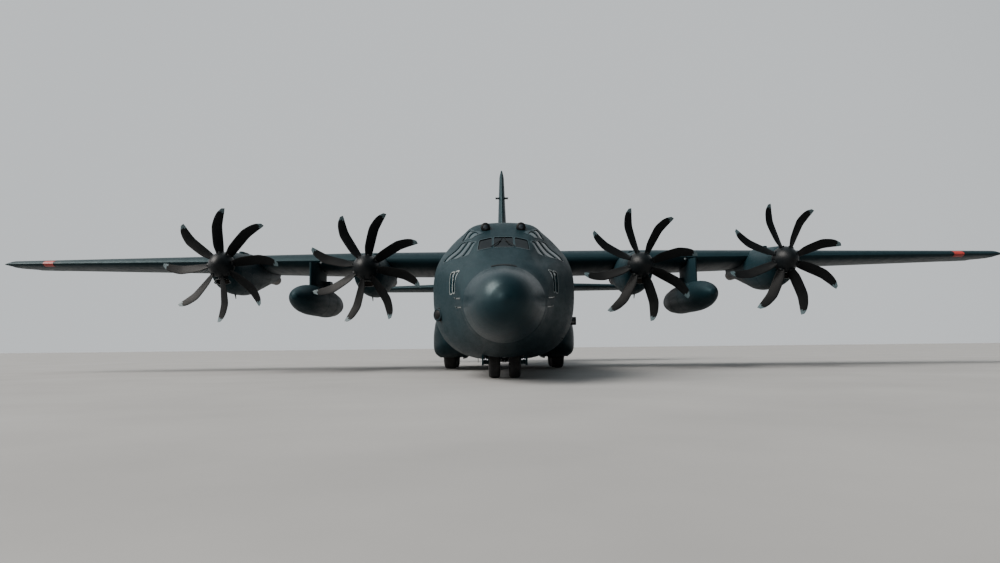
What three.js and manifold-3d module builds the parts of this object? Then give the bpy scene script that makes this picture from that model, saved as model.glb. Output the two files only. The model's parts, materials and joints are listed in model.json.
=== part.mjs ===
// A four-engine, high-wing military transport aeroplane, parked on its wheels.
// Every size here is the full-size aircraft's, in millimetres, and the whole group is scaled to 1:2 at the end.
// Stations run aft from the nose tip along +Y, +X is the aircraft's left side, and the ground is z = 0.

import * as THREE from "three";
import { mergeVertices } from "three/addons/utils/BufferGeometryUtils.js";
import Module from "manifold-3d";

// Driving dimensions
const MODEL_SCALE = 0.5;
const LENGTH = 29790;
const HALF_SPAN = 20205;
const TOUCH = 0.7;
const CLEAR = 12;
const END_CLEAR = 30;
const WALL = 120;
const AROUND = 28;

// Cutting boxes reach past the skin to these
const BEYOND = 3000;
const ABOVE = 6000;
const WING_ZONE = [11000, 19000, 3000, 6000];

const wasm = await Module();
wasm.setup();

// Solids: closed meshes in, joined and cut meshes out

function solidOf(geometry) {
  const bare = geometry.clone();
  bare.deleteAttribute("normal");
  bare.deleteAttribute("uv");
  const merged = mergeVertices(bare, 1e-3);
  const index = merged.index.array;
  const triVerts = [];
  for (let i = 0; i < index.length; i += 3) {
    const [a, b, c] = [index[i], index[i + 1], index[i + 2]];
    if (a !== b && b !== c && c !== a) {
      triVerts.push(a, b, c);
    }
  }
  const mesh = new wasm.Mesh({
    numProp: 3,
    vertProperties: new Float32Array(merged.attributes.position.array),
    triVerts: new Uint32Array(triVerts),
  });
  return new wasm.Manifold(mesh);
}

function geometryOf(solid) {
  const mesh = solid.getMesh();
  const geometry = new THREE.BufferGeometry();
  geometry.setAttribute("position", new THREE.BufferAttribute(new Float32Array(mesh.vertProperties), 3));
  geometry.setIndex(new THREE.BufferAttribute(new Uint32Array(mesh.triVerts), 1));
  geometry.computeVertexNormals();
  return geometry;
}

function signedArea(points) {
  let area = 0;
  points.forEach((p, i) => {
    const q = points[(i + 1) % points.length];
    area += p.x * q.y - q.x * p.y;
  });
  return area / 2;
}

// Triangles that close one ring of points, in the ring's own direction
function capFaces(ring) {
  const normal = new THREE.Vector3();
  ring.forEach((p, i) => {
    const q = ring[(i + 1) % ring.length];
    normal.x += (p[1] - q[1]) * (p[2] + q[2]);
    normal.y += (p[2] - q[2]) * (p[0] + q[0]);
    normal.z += (p[0] - q[0]) * (p[1] + q[1]);
  });
  const size = [Math.abs(normal.x), Math.abs(normal.y), Math.abs(normal.z)];
  const drop = size.indexOf(Math.max(...size));
  const kept = [0, 1, 2].filter((axis) => axis !== drop);
  const flat = ring.map((p) => new THREE.Vector2(p[kept[0]], p[kept[1]]));
  const way = Math.sign(signedArea(flat));
  return THREE.ShapeUtils.triangulateShape(flat, []).map(([a, b, c]) => {
    const same = Math.sign(signedArea([flat[a], flat[b], flat[c]])) === way;
    return same ? [a, b, c] : [a, c, b];
  });
}

// A closed solid through rings that all have the same number of points
// Each four-sided face is split in two, and otherSplit names those that take the other diagonal, so that
// the left and right sides of a whole body mirror each other exactly
function loft(rings, otherSplit = () => false) {
  const count = rings[0].length;
  const last = (rings.length - 1) * count;
  const faces = [];
  for (let r = 0; r + 1 < rings.length; r++) {
    for (let i = 0; i < count; i++) {
      const a = r * count + i;
      const b = r * count + ((i + 1) % count);
      if (otherSplit(r, i)) {
        faces.push([a, b, a + count], [b, b + count, a + count]);
      } else {
        faces.push([a, b, b + count], [a, b + count, a + count]);
      }
    }
  }
  capFaces(rings[0]).forEach(([a, b, c]) => faces.push([a, c, b]));
  capFaces(rings[rings.length - 1]).forEach(([a, b, c]) => faces.push([last + a, last + b, last + c]));
  const points = rings.flat();
  const corner = (i) => new THREE.Vector3(...points[i]);
  let volume = 0;
  faces.forEach(([a, b, c]) => {
    volume += corner(a).dot(corner(b).cross(corner(c)));
  });
  const outward = volume > 0 ? faces : faces.map(([a, b, c]) => [a, c, b]);
  const geometry = new THREE.BufferGeometry();
  geometry.setAttribute("position", new THREE.Float32BufferAttribute(points.flat(), 3));
  geometry.setIndex(outward.flat());
  return solidOf(geometry);
}

function box(x0, x1, s0, s1, z0, z1) {
  const geometry = new THREE.BoxGeometry(x1 - x0, s1 - s0, z1 - z0);
  geometry.translate((x0 + x1) / 2, (s0 + s1) / 2, (z0 + z1) / 2);
  return solidOf(geometry);
}

function rod(from, to, radius, sides = 12, endRadius = radius) {
  const start = new THREE.Vector3(...from);
  const end = new THREE.Vector3(...to);
  const along = end.clone().sub(start);
  const geometry = new THREE.CylinderGeometry(endRadius, radius, along.length(), sides);
  const turn = new THREE.Quaternion().setFromUnitVectors(new THREE.Vector3(0, 1, 0), along.clone().normalize());
  geometry.applyQuaternion(turn);
  geometry.translate(...start.add(end).multiplyScalar(0.5).toArray());
  return solidOf(geometry);
}

// A turned body along the stations, from rows of [station, radius]
function turned(rows, x, z, sides) {
  const profile = rows.map(([station, radius]) => new THREE.Vector2(radius, station));
  const geometry = new THREE.LatheGeometry(profile, sides);
  geometry.translate(x, 0, z);
  return solidOf(geometry);
}

function mirrored(solid) {
  return solid.mirror([1, 0, 0]);
}

// The fuselage's sections
// Columns: station, half width, keel height, height of the widest point, crown height, share of the cockpit shape,
// power of the lower half's curve, where 2 is an ellipse and more is fuller
const FUSELAGE = [
  [0, 110, 1820, 1930, 2040, 0, 2],
  [90, 330, 1600, 1930, 2265, 0, 2],
  [400, 610, 1320, 1925, 2540, 0, 2],
  [800, 800, 1130, 1920, 2690, 0, 2],
  [1400, 1000, 950, 1950, 2830, 0, 2],
  [1900, 1150, 810, 2300, 3080, 0.15, 2.1],
  [2500, 1330, 660, 2480, 3420, 0.85, 2.3],
  [3250, 1610, 560, 2520, 3900, 1, 2.6],
  [4100, 1890, 505, 2560, 4350, 0.9, 2.8],
  [5000, 2070, 490, 2590, 4530, 0.25, 2.8],
  [6220, 2160, 490, 2620, 4690, 0, 2.8],
  [9500, 2160, 490, 2620, 4690, 0, 2.5],
  [12000, 2160, 490, 2620, 4690, 0, 2],
  [18720, 2160, 490, 2620, 4690, 0, 2],
  [20300, 2140, 1030, 2840, 4705, 0, 2],
  [21900, 2050, 1700, 3120, 4720, 0, 2],
  [24500, 1530, 2750, 3700, 4730, 0, 2],
  [27000, 850, 3620, 4150, 4700, 0, 2],
  [28800, 400, 4020, 4310, 4630, 0, 2],
  [29640, 160, 4210, 4350, 4500, 0, 2],
  [29790, 40, 4310, 4350, 4390, 0, 2],
];
const RADOME_JOINT = 1400;
const FORWARD_JOINT = 6220;
const AFT_JOINT = 18720;
const BULKHEAD = 150;
const HOLD_FLOOR = 1080;
const FLOOR_THICK = 60;
const HOLD_END = 26900;

// The cockpit's upper half has flatter sides and roof than an ellipse
// Columns: angle from the crown in degrees, share of the half width
const COCKPIT_SHAPE = [
  [0, 0],
  [13, 0.4],
  [26, 0.53],
  [39, 0.6],
  [51, 0.7],
  [64, 0.9],
  [77, 0.98],
  [90, 1],
];

// The half width's share at an angle from the crown
function upperShare(angle, cockpit) {
  const degrees = THREE.MathUtils.radToDeg(angle);
  const next = Math.max(1, COCKPIT_SHAPE.findIndex((row) => row[0] >= degrees - 1e-9));
  const [before, after] = [COCKPIT_SHAPE[next - 1], COCKPIT_SHAPE[next]];
  const share = before[1] + ((degrees - before[0]) / (after[0] - before[0])) * (after[1] - before[1]);
  return (1 - cockpit) * Math.sin(angle) + cockpit * share;
}

function fuselageRow(station) {
  const after = FUSELAGE.findIndex((row) => row[0] > station);
  if (after === 0) {
    return FUSELAGE[0];
  }
  if (after < 0) {
    return FUSELAGE[FUSELAGE.length - 1];
  }
  const [before, next] = [FUSELAGE[after - 1], FUSELAGE[after]];
  const share = (station - before[0]) / (next[0] - before[0]);
  return before.map((value, i) => value + share * (next[i] - value));
}

function fuselageRing(row, inset) {
  const [station, halfWidth, keel, widest, crown, cockpit, power] = row;
  const ring = [];
  for (let i = 0; i < AROUND; i++) {
    const angle = (2 * Math.PI * i) / AROUND;
    const side = Math.sign(Math.sin(angle));
    const up = -Math.cos(angle);
    if (up > 1e-9) {
      const across = side * upperShare(Math.acos(up), cockpit);
      ring.push([(halfWidth - inset) * across, station, widest + up * (crown - inset - widest)]);
    } else {
      const across = side * Math.abs(Math.sin(angle)) ** (2 / power);
      const down = Math.abs(up) ** (2 / power);
      ring.push([(halfWidth - inset) * across, station, widest - down * (widest - keel - inset)]);
    }
  }
  return ring;
}

function fuselageBody(from, to, inset = 0) {
  const between = FUSELAGE.filter((row) => row[0] > from && row[0] < to);
  const first = [from, ...fuselageRow(from).slice(1)];
  const last = [to, ...fuselageRow(to).slice(1)];
  const rings = [first, ...between, last].map((row) => fuselageRing(row, inset));
  return loft(rings, (r, i) => i >= AROUND / 2);
}

// The skin's distance from the middle at a station and height
function skinX(station, z) {
  const [, halfWidth, keel, widest, crown, cockpit, power] = fuselageRow(station);
  if (z > widest) {
    return halfWidth * upperShare(Math.acos(Math.min(1, (z - widest) / (crown - widest))), cockpit);
  }
  return halfWidth * Math.max(0, 1 - ((widest - z) / (widest - keel)) ** power) ** (1 / power);
}

// Lifting surfaces
// Columns: span, leading edge station, leading edge height, chord, thickness share, nose-up angle
const WING = [
  [-20205, 12510, 4410, 2300, 0.05, 0],
  [-19950, 12419, 4410, 2480, 0.12, 0],
  [-5590, 11820, 4330, 4877, 0.17, 2.2],
  [0, 11820, 4290, 4877, 0.18, 2.5],
  [5590, 11820, 4330, 4877, 0.17, 2.2],
  [19950, 12419, 4410, 2480, 0.12, 0],
  [20205, 12510, 4410, 2300, 0.05, 0],
];
const WING_CAMBER = 0.02;
const STABILISER = [
  [150, 23960, 4370, 4340, 0.125, 0],
  [7800, 25520, 4370, 2490, 0.12, 0],
  [8025, 25700, 4370, 2200, 0.05, 0],
];
const FIN = [
  [4300, 23330, 0, 5870, 0.13, 0],
  [11300, 26060, 0, 2690, 0.105, 0],
  [11660, 26400, 0, 2100, 0.06, 0],
];
const EDGE_THICK = 12;
const CHORD_SHARES = [0, 0.015, 0.06, 0.15, 0.3, 0.45, 0.62, 0.78, 1];

function foilHalf(share, thickness) {
  const x = Math.min(1, Math.max(0, share));
  const shape = 0.2969 * Math.sqrt(x) - 0.126 * x - 0.3516 * x ** 2 + 0.2843 * x ** 3 - 0.1036 * x ** 4;
  return 5 * thickness * shape;
}

function sectionAt(rows, span) {
  const after = Math.max(1, rows.findIndex((row) => row[0] >= span));
  const [before, next] = [rows[after - 1], rows[after]];
  const t = (span - before[0]) / (next[0] - before[0]);
  return before.map((value, i) => value + t * (next[i] - value));
}

// Where a share of the chord lies on a section: side is 1 above, -1 below and 0 on the middle line
function foilPoint(section, share, side, grow, camber, upright) {
  const [span, edge, height, chord, thickness, angle] = section;
  const half = Math.max(foilHalf(share, thickness) * chord, share > 0 ? EDGE_THICK / 2 : 0) + grow;
  const ends = share === 0 ? -grow : share === 1 ? grow : 0;
  const along = share * chord + ends;
  const off = 4 * camber * share * (1 - share) * chord + side * (share === 0 ? 0 : half);
  const tilt = THREE.MathUtils.degToRad(angle);
  const back = edge + along * Math.cos(tilt) + off * Math.sin(tilt);
  const rise = off * Math.cos(tilt) - along * Math.sin(tilt);
  return upright ? [rise, back, span] : [span, back, height + rise];
}

function foilRing(section, grow, camber, upright) {
  const upper = [...CHORD_SHARES].reverse().map((s) => foilPoint(section, s, 1, grow, camber, upright));
  const lower = CHORD_SHARES.slice(1).map((s) => foilPoint(section, s, -1, grow, camber, upright));
  return [...upper, ...lower];
}

function foilBody(rows, { grow = 0, camber = 0, upright = false } = {}) {
  const rings = rows.map((row) => foilRing(row, grow, camber, upright));
  return loft(rings, (r) => rows[r + 1][0] <= 0);
}

// Control surfaces
// Each has a round nose about its hinge line, and the fixed surface has a cove of the same centre around it
// The gap between them grows with the nose, since its shoulders swing past the cove's lips
const AILERON = { rows: WING, camber: WING_CAMBER, from: 13000, to: 19300, share: 0.75, gap: CLEAR };
const ELEVATOR = { rows: STABILISER, camber: 0, from: 1010, to: 7780, station: 27200, gap: 30 };
const RUDDER = { rows: FIN, camber: 0, upright: true, from: 4990, to: 11250, stations: [27560, 28010], gap: 38 };
const NOSE_STEPS = 6;
const COVE_OVERHANG = 400;

function hingeShare(control, span) {
  const section = sectionAt(control.rows, span);
  const t = (span - control.from) / (control.to - control.from);
  const stations = control.stations || [control.station, control.station];
  const station = stations[0] + t * (stations[1] - stations[0]);
  return control.share || (station - section[1]) / section[3];
}

function hingePoint(control, span) {
  const share = hingeShare(control, span);
  return foilPoint(sectionAt(control.rows, span), share, 0, 0, control.camber, control.upright);
}

function noseRadius(control, span) {
  const section = sectionAt(control.rows, span);
  return foilHalf(hingeShare(control, span), section[4]) * section[3] - 2;
}

// The nose's arc from below, round the front, to above
function noseArc(control, span, grow) {
  const [x, y, z] = hingePoint(control, span);
  const radius = noseRadius(control, span) + grow;
  const arc = [];
  for (let i = 0; i <= NOSE_STEPS; i++) {
    const angle = Math.PI * (i / NOSE_STEPS - 0.5);
    const back = y - radius * Math.cos(angle);
    const off = radius * Math.sin(angle);
    arc.push(control.upright ? [off, back, span] : [x, back, z + off]);
  }
  return arc;
}

function controlRing(control, span) {
  const section = sectionAt(control.rows, span);
  const share = hingeShare(control, span);
  const middle = (share + 1) / 2;
  const at = (s, side) => foilPoint(section, s, side, 0, control.camber, control.upright);
  return [...noseArc(control, span, 0), at(middle, 1), at(1, 1), at(1, -1), at(middle, -1)];
}

function coveRing(control, span) {
  const [x, y, z] = hingePoint(control, span);
  const high = noseRadius(control, span) + 2 * control.gap + 3 * CLEAR;
  const end = y + sectionAt(control.rows, span)[3] / 2 + COVE_OVERHANG;
  const at = (back, off) => (control.upright ? [off, back, span] : [x, back, z + off]);
  return [...noseArc(control, span, control.gap), at(y, high), at(end, high), at(end, -high), at(y, -high)];
}

function controlBody(control) {
  return loft([controlRing(control, control.from), controlRing(control, control.to)]);
}

function coveBody(control) {
  const first = coveRing(control, control.from - END_CLEAR);
  const last = coveRing(control, control.to + END_CLEAR);
  return loft([first, last]);
}

// The hinge line's own frame: aft, across the surface, and along the hinge
function hingeFrame(control, span) {
  const start = new THREE.Vector3(...hingePoint(control, control.from));
  const end = new THREE.Vector3(...hingePoint(control, control.to));
  const along = end.sub(start).normalize();
  const aft = new THREE.Vector3(0, 1, 0).addScaledVector(along, -along.y).normalize();
  const across = along.clone().cross(aft);
  return new THREE.Matrix4().makeBasis(aft, across, along).setPosition(...hingePoint(control, span));
}

// A hinge bracket stands on the fixed surface and reaches into a slot in the moving one
const BRACKET = { radius: 42, width: 60 };
const CONTROL_HINGES = [0.06, 0.5, 0.94];

function hingePlate(control, span, outline, width) {
  const shape = new THREE.Shape(outline.map(([v, w]) => new THREE.Vector2(v, w)));
  const geometry = new THREE.ExtrudeGeometry(shape, { depth: width, bevelEnabled: false });
  geometry.translate(0, 0, -width / 2);
  return solidOf(geometry.applyMatrix4(hingeFrame(control, span)));
}

function bracketOutline(reach) {
  const outline = [[-reach, BRACKET.radius], [-reach, -BRACKET.radius]];
  for (let i = 0; i <= NOSE_STEPS; i++) {
    const angle = Math.PI * (i / NOSE_STEPS - 0.5);
    outline.push([BRACKET.radius * Math.cos(angle), BRACKET.radius * Math.sin(angle)]);
  }
  return outline;
}

function slotOutline(reach) {
  const back = BRACKET.radius + CLEAR;
  return [[-reach, -reach], [back, -reach], [back, reach], [-reach, reach]];
}

// Cuts a control surface out of a fixed one, and joins them with hinge brackets and slots
function hang(fixed, control) {
  let moving = controlBody(control);
  let still = fixed.subtract(coveBody(control));
  CONTROL_HINGES.forEach((t) => {
    const span = control.from + t * (control.to - control.from);
    const reach = noseRadius(control, span) + control.gap;
    still = still.add(hingePlate(control, span, bracketOutline(reach + 40), BRACKET.width));
    moving = moving.subtract(hingePlate(control, span, slotOutline(2 * reach), BRACKET.width + 2 * TOUCH));
  });
  return [still, moving];
}

// Wing pieces
const CENTRE_HALF = 5590;
const FLAP = { from: 2300, to: 12900, share: 0.77 };

const wingWhole = foilBody(WING, { camber: WING_CAMBER });
const wingGrown = foilBody(WING, { camber: WING_CAMBER, grow: TOUCH });

function flapBay(side, margin) {
  const rings = [FLAP.from - margin, CENTRE_HALF, FLAP.to + margin].map((span) => {
    const section = sectionAt(WING, span);
    const front = section[1] + FLAP.share * section[3] - margin;
    const end = section[1] + section[3] + COVE_OVERHANG;
    return [[front, BEYOND], [end, BEYOND], [end, ABOVE], [front, ABOVE]].map(([s, z]) => [side * span, s, z]);
  });
  return loft(rings);
}

const bothBays = flapBay(1, TOUCH).add(flapBay(-1, TOUCH));
const fixedWing = wingWhole.subtract(bothBays);
const centreWing = fixedWing.intersect(box(-CENTRE_HALF, CENTRE_HALF, ...WING_ZONE));
const outerPanel = fixedWing.intersect(box(CENTRE_HALF + TOUCH, HALF_SPAN + 10, ...WING_ZONE));
const [outerWing, aileron] = hang(outerPanel, AILERON);
const flap = wingWhole.intersect(flapBay(1, 0)).subtract(box(0, FLAP.from, ...WING_ZONE));

// Fuselage pieces
const TAIL_END = 29790;
const outer = fuselageBody(RADOME_JOINT, TAIL_END);
const outerGrown = fuselageBody(RADOME_JOINT, TAIL_END, -TOUCH);
const insideFrom = RADOME_JOINT + BULKHEAD;
const inside = fuselageBody(insideFrom, HOLD_END, WALL);
const aboveFloor = box(-BEYOND, BEYOND, 0, AFT_JOINT, HOLD_FLOOR - FLOOR_THICK - TOUCH, ABOVE);
const aftSpace = box(-BEYOND, BEYOND, AFT_JOINT, LENGTH, 0, ABOVE);
const hollow = inside.intersect(aboveFloor.add(aftSpace));
const shell = outer.subtract(hollow);

function slice(solid, from, to) {
  return solid.intersect(box(-BEYOND, BEYOND, from, to, -100, ABOVE));
}

// Cockpit windows
// The glass is one curved band, which lies in a rebate just under the skin
const GLASS = { skin: 30, depth: 28, from: 2150, to: 4150, low: 2150, high: 4280 };
const PANE_OUT = 260;
const PANE_IN = 90;
// Columns: four corners as [station, height], from the front low one round; the skin gives their distance out
const SIDE_PANES = [
  [[2790, 3290], [3050, 3255], [3090, 3680], [2960, 3640]],
  [[3120, 3250], [3420, 3230], [3450, 3740], [3160, 3700]],
  [[3490, 3220], [3800, 3200], [3810, 3740], [3520, 3750]],
  [[2260, 2250], [2460, 2250], [2460, 2800], [2260, 2800]],
  [[2520, 2250], [2740, 2250], [2740, 2800], [2520, 2800]],
];
const ROOF_PANES = [
  [[3300, 3800], [3560, 3850], [3590, 4040], [3360, 3930]],
  [[3620, 3850], [3900, 3800], [3920, 4130], [3650, 4060]],
];
// Columns: distance out and height of the four corners, seen from the front
const FRONT_PANES = [
  [[-255, 3450], [255, 3450], [250, 3800], [-250, 3800]],
  [[310, 3445], [680, 3370], [640, 3700], [305, 3790]],
];
const FRONT_PANE_STATIONS = [2350, 3400];

function paneCutter(corners) {
  const points = corners.map(([s, z]) => new THREE.Vector3(skinX(s, z), s, z));
  const normal = points[2].clone().sub(points[0]).cross(points[3].clone().sub(points[1])).normalize();
  if (normal.x < 0) {
    normal.negate();
  }
  const moved = (d) => points.map((p) => p.clone().addScaledVector(normal, d).toArray());
  return loft([moved(PANE_OUT), moved(-PANE_IN)]);
}

function frontCutter(corners) {
  return loft(FRONT_PANE_STATIONS.map((s) => corners.map(([x, z]) => [x, s, z])));
}

const sidePanes = [...SIDE_PANES, ...ROOF_PANES].map(paneCutter);
const frontSidePane = frontCutter(FRONT_PANES[1]);
const paneCutters = [
  ...sidePanes,
  ...sidePanes.map(mirrored),
  frontCutter(FRONT_PANES[0]),
  frontSidePane,
  mirrored(frontSidePane),
];
const GLASS_BODY_END = 6000;
const underSkin = fuselageBody(insideFrom, GLASS_BODY_END, GLASS.skin);
const glassZone = box(-BEYOND, BEYOND, GLASS.from, GLASS.to, GLASS.low, GLASS.high);
const rebate = underSkin.intersect(glassZone);
const glassFrom = GLASS.from + TOUCH;
const glassBox = box(-BEYOND, BEYOND, glassFrom, GLASS.to - TOUCH, GLASS.low + TOUCH, GLASS.high - TOUCH);
const glassOuter = fuselageBody(insideFrom, GLASS_BODY_END, GLASS.skin + 1.5 * TOUCH);
const glassInner = fuselageBody(insideFrom - 10, 6010, GLASS.skin + GLASS.depth);
const glazing = glassOuter.intersect(glassBox).subtract(glassInner);

// Crew door, in the left side, hinged along its lower edge
// Its front and rear edges are cut square to the hinge line, so that they stay clear as it turns
const CREW_DOOR = { from: 4230, to: 5010, low: 1095, high: 2225, hingeRadius: 36, hingeWidth: 60, inward: 700 };
const crewHingeEnds = [CREW_DOOR.from, CREW_DOOR.to].map((s) => [skinX(s, CREW_DOOR.low), s, CREW_DOOR.low]);
const crewAlong = new THREE.Vector3(...crewHingeEnds[1]).sub(new THREE.Vector3(...crewHingeEnds[0])).normalize();

function crewZone(margin) {
  const outward = [crewAlong.y, -crewAlong.x];
  const corner = (end, along, out) => [
    end[0] + crewAlong.x * along + outward[0] * out,
    end[1] + crewAlong.y * along + outward[1] * out,
  ];
  const plan = [
    corner(crewHingeEnds[0], -margin, 1200),
    corner(crewHingeEnds[1], margin, 1200),
    corner(crewHingeEnds[1], margin, -CREW_DOOR.inward),
    corner(crewHingeEnds[0], -margin, -CREW_DOOR.inward),
  ];
  return planPlate(plan, CREW_DOOR.low - margin, CREW_DOOR.high + margin);
}

// An outline in the plane of stations and heights, made into a plate between two distances out
function sidePlate(outline, x0, x1) {
  return loft([x0, x1].map((x) => outline.map(([s, z]) => [x, s, z])));
}

// An outline seen from above, made into a plate between two heights
function planPlate(outline, z0, z1) {
  return loft([z0, z1].map((z) => outline.map(([x, s]) => [x, s, z])));
}

// Barrels of a door's hinge: the fixed side carries them and the moving side is cut clear around them
function barrels(fixed, moving, centres, along, radius, width) {
  let [still, free] = [fixed, moving];
  centres.forEach((centre) => {
    const at = (d) => centre.map((value, i) => value + along[i] * d);
    still = still.add(rod(at(-width / 2), at(width / 2), radius, 16));
    const half = width / 2 + TOUCH;
    free = free.subtract(rod(at(-half), at(half), radius + CLEAR, 16));
  });
  return [still, free];
}

// Nose wheel bay, under the flight deck
const NOSE_GEAR = { station: 4300, wheelX: 285, radius: 495, width: 330, hubHalf: 100 };
const NOSE_BAY = { radius: 700, halfWidth: 520, from: 2950, top: HOLD_FLOOR - 20 };
const noseBay = rod([0, NOSE_GEAR.station, 200], [0, NOSE_GEAR.station, NOSE_BAY.top], NOSE_BAY.radius, 24)
  .add(box(-NOSE_BAY.halfWidth, NOSE_BAY.halfWidth, NOSE_BAY.from, NOSE_GEAR.station, 200, NOSE_BAY.top));

// Round sensor domes on the cockpit roof
const ROOF_SENSOR = { x: 490, from: 3510, to: 3900, z: 4150, radius: 129 };
let forward = slice(shell, RADOME_JOINT + TOUCH, FORWARD_JOINT)
  .subtract(rebate)
  .subtract(noseBay);
paneCutters.forEach((cutter) => {
  forward = forward.subtract(cutter);
});
[-1, 1].forEach((side) => {
  const { x, from, to, z, radius } = ROOF_SENSOR;
  forward = forward.add(rod([side * x, from, z], [side * x, to, z], radius, 12).subtract(underSkin));
});

// One more on the right side, which looks forward and out
const SIDE_SENSOR = { root: [-1598, 4082, 1765], face: [-1850, 3830, 1765], radius: 189 };
const sideSensor = rod(SIDE_SENSOR.root, SIDE_SENSOR.face, SIDE_SENSOR.radius, 12);
forward = forward.add(sideSensor.subtract(underSkin));
const crewHinges = [0.14, 0.86].map((t) => {
  const [first, last] = crewHingeEnds.map((end) => new THREE.Vector3(...end));
  return first.lerp(last, t).toArray();
});
const [forwardFixed, crewDoor] = barrels(
  forward.subtract(crewZone(CLEAR)),
  forward.intersect(crewZone(0)),
  crewHinges,
  crewAlong.toArray(),
  CREW_DOOR.hingeRadius,
  CREW_DOOR.hingeWidth,
);

const radome = fuselageBody(0, RADOME_JOINT);

// Paratroop doors, one in each side of the hold's rear
const SIDE_DOOR = { from: 16750, to: 17640, low: 1110, high: 2930 };
const SIDE_DOOR_EDGES = [SIDE_DOOR.from, SIDE_DOOR.to, SIDE_DOOR.low, SIDE_DOOR.high];
const sideDoorHole = box(0, BEYOND, ...SIDE_DOOR_EDGES);
const sideDoorZone = box(
  0,
  BEYOND,
  SIDE_DOOR.from + TOUCH,
  SIDE_DOOR.to - TOUCH,
  SIDE_DOOR.low + TOUCH,
  SIDE_DOOR.high - TOUCH,
);
const centreSlice = slice(shell, FORWARD_JOINT + TOUCH, AFT_JOINT - TOUCH);
const sideDoor = centreSlice.intersect(sideDoorZone);
const SIDE_BOX = { from: 8000, to: 8280, low: 1580, high: 1840, root: 1980, face: 2430 };
const centreFixed = centreSlice
  .subtract(sideDoorHole)
  .subtract(mirrored(sideDoorHole))
  .subtract(wingGrown)
  .add(box(SIDE_BOX.root, SIDE_BOX.face, SIDE_BOX.from, SIDE_BOX.to, SIDE_BOX.low, SIDE_BOX.high));

// Cargo ramp and the door behind it
const RAMP = {
  halfWidth: 1390,
  front: 30,
  end: 21900,
  endTop: 2230,
  hingeBack: 60,
  hingeUp: 55,
  lean: 0.58,
  hingeX: 270,
  hingeWidth: 90,
  hingeRadius: 35,
};
const AFT_DOOR = { end: 26350, endHalf: 560, top: 3720, hingeBack: 20, hingeZ: 3640, hingeX: 300, hingeWidth: 50 };
const KEEL_AT_RAMP = fuselageRow(AFT_JOINT)[2];
const rampAxis = [AFT_JOINT + RAMP.hingeBack, KEEL_AT_RAMP + RAMP.hingeUp];
const aftDoorAxis = [AFT_DOOR.end - AFT_DOOR.hingeBack, AFT_DOOR.hingeZ];

// The joint between ramp and door leans forward, so that each opens without the other
function leanStation(z, offset) {
  return RAMP.end - RAMP.lean * (z - 1700) + offset;
}

function rampZone(margin, top) {
  const front = AFT_JOINT + RAMP.front - margin;
  const outline = [
    [front, 200],
    [leanStation(200, margin), 200],
    [leanStation(2700, margin), 2700],
    [front, top],
  ];
  return sidePlate(outline, -RAMP.halfWidth - margin, RAMP.halfWidth + margin);
}

const aboveRamp = sidePlate(
  [
    [AFT_JOINT, HOLD_FLOOR],
    [RAMP.end, RAMP.endTop],
    [RAMP.end, ABOVE],
    [AFT_JOINT, ABOVE],
  ],
  -BEYOND,
  BEYOND,
);

// Seen from above, the aft door narrows towards the tail
function aftDoorZone(margin) {
  const front = RAMP.end - 700;
  const wide = RAMP.halfWidth + margin;
  const narrow = AFT_DOOR.endHalf + margin;
  const stations = [
    [wide, front],
    [wide, RAMP.end],
    [narrow, AFT_DOOR.end + margin],
  ];
  const right = stations.map(([x, s]) => [-x, s]).reverse();
  return planPlate([...stations, ...right], 1000, AFT_DOOR.top + 2 * margin);
}

function behindRamp(offset) {
  const outline = [
    [leanStation(200, offset), 200],
    [LENGTH, 200],
    [LENGTH, 4000],
    [leanStation(4000, offset), 4000],
  ];
  return sidePlate(outline, -BEYOND, BEYOND);
}

// A plate square to X with a round end about a hinge line, which runs from the line to a far station
function lug(axis, far, radius, x0, x1) {
  const [s, z] = axis;
  const way = Math.sign(far - s);
  const outline = [[far, z - radius], [far, z + radius]];
  for (let i = 0; i <= NOSE_STEPS; i++) {
    const angle = Math.PI * (0.5 - i / NOSE_STEPS);
    outline.push([s - way * radius * Math.cos(angle), z + radius * Math.sin(angle)]);
  }
  return sidePlate(outline, x0, x1);
}

const aftShell = slice(shell, AFT_JOINT, LENGTH);
let ramp = slice(outer, AFT_JOINT, LENGTH).intersect(rampZone(0, 1700)).subtract(aboveRamp);
let aftDoor = aftShell.intersect(behindRamp(CLEAR)).intersect(aftDoorZone(0));
let aftFixed = aftShell.subtract(rampZone(CLEAR + RAMP.front, 1900)).subtract(aftDoorZone(CLEAR));
let centreWithHinges = centreFixed;
[-1, 1].forEach((side) => {
  const middle = side * RAMP.hingeX;
  const half = RAMP.hingeWidth / 2;
  const plate = lug(rampAxis, AFT_JOINT - 60, RAMP.hingeRadius, middle - half, middle + half);
  centreWithHinges = centreWithHinges.add(plate);
  const wide = half + TOUCH;
  const back = rampAxis[0] + RAMP.hingeRadius + CLEAR;
  const high = rampAxis[1] + RAMP.hingeRadius + 2 * CLEAR;
  ramp = ramp.subtract(box(middle - wide, middle + wide, AFT_JOINT, back, 300, high));
});
[-1, 1].forEach((side) => {
  const edges = [0, 1, 2].map((i) => side * (AFT_DOOR.hingeX + i * AFT_DOOR.hingeWidth));
  const inner = [Math.min(edges[0], edges[1]), Math.max(edges[0], edges[1])];
  const outerPlate = [edges[1] + side * TOUCH, edges[2]].sort((p, q) => p - q);
  const [s, z] = aftDoorAxis;
  const arm = rod([inner[0], s, z], [inner[1], s, z], 50, 16).add(box(...inner, s - 50, s + 15, z - 150, z));
  aftDoor = aftDoor.add(arm);
  aftFixed = aftFixed.add(lug(aftDoorAxis, s + 400, 50, ...outerPlate));
});

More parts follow.
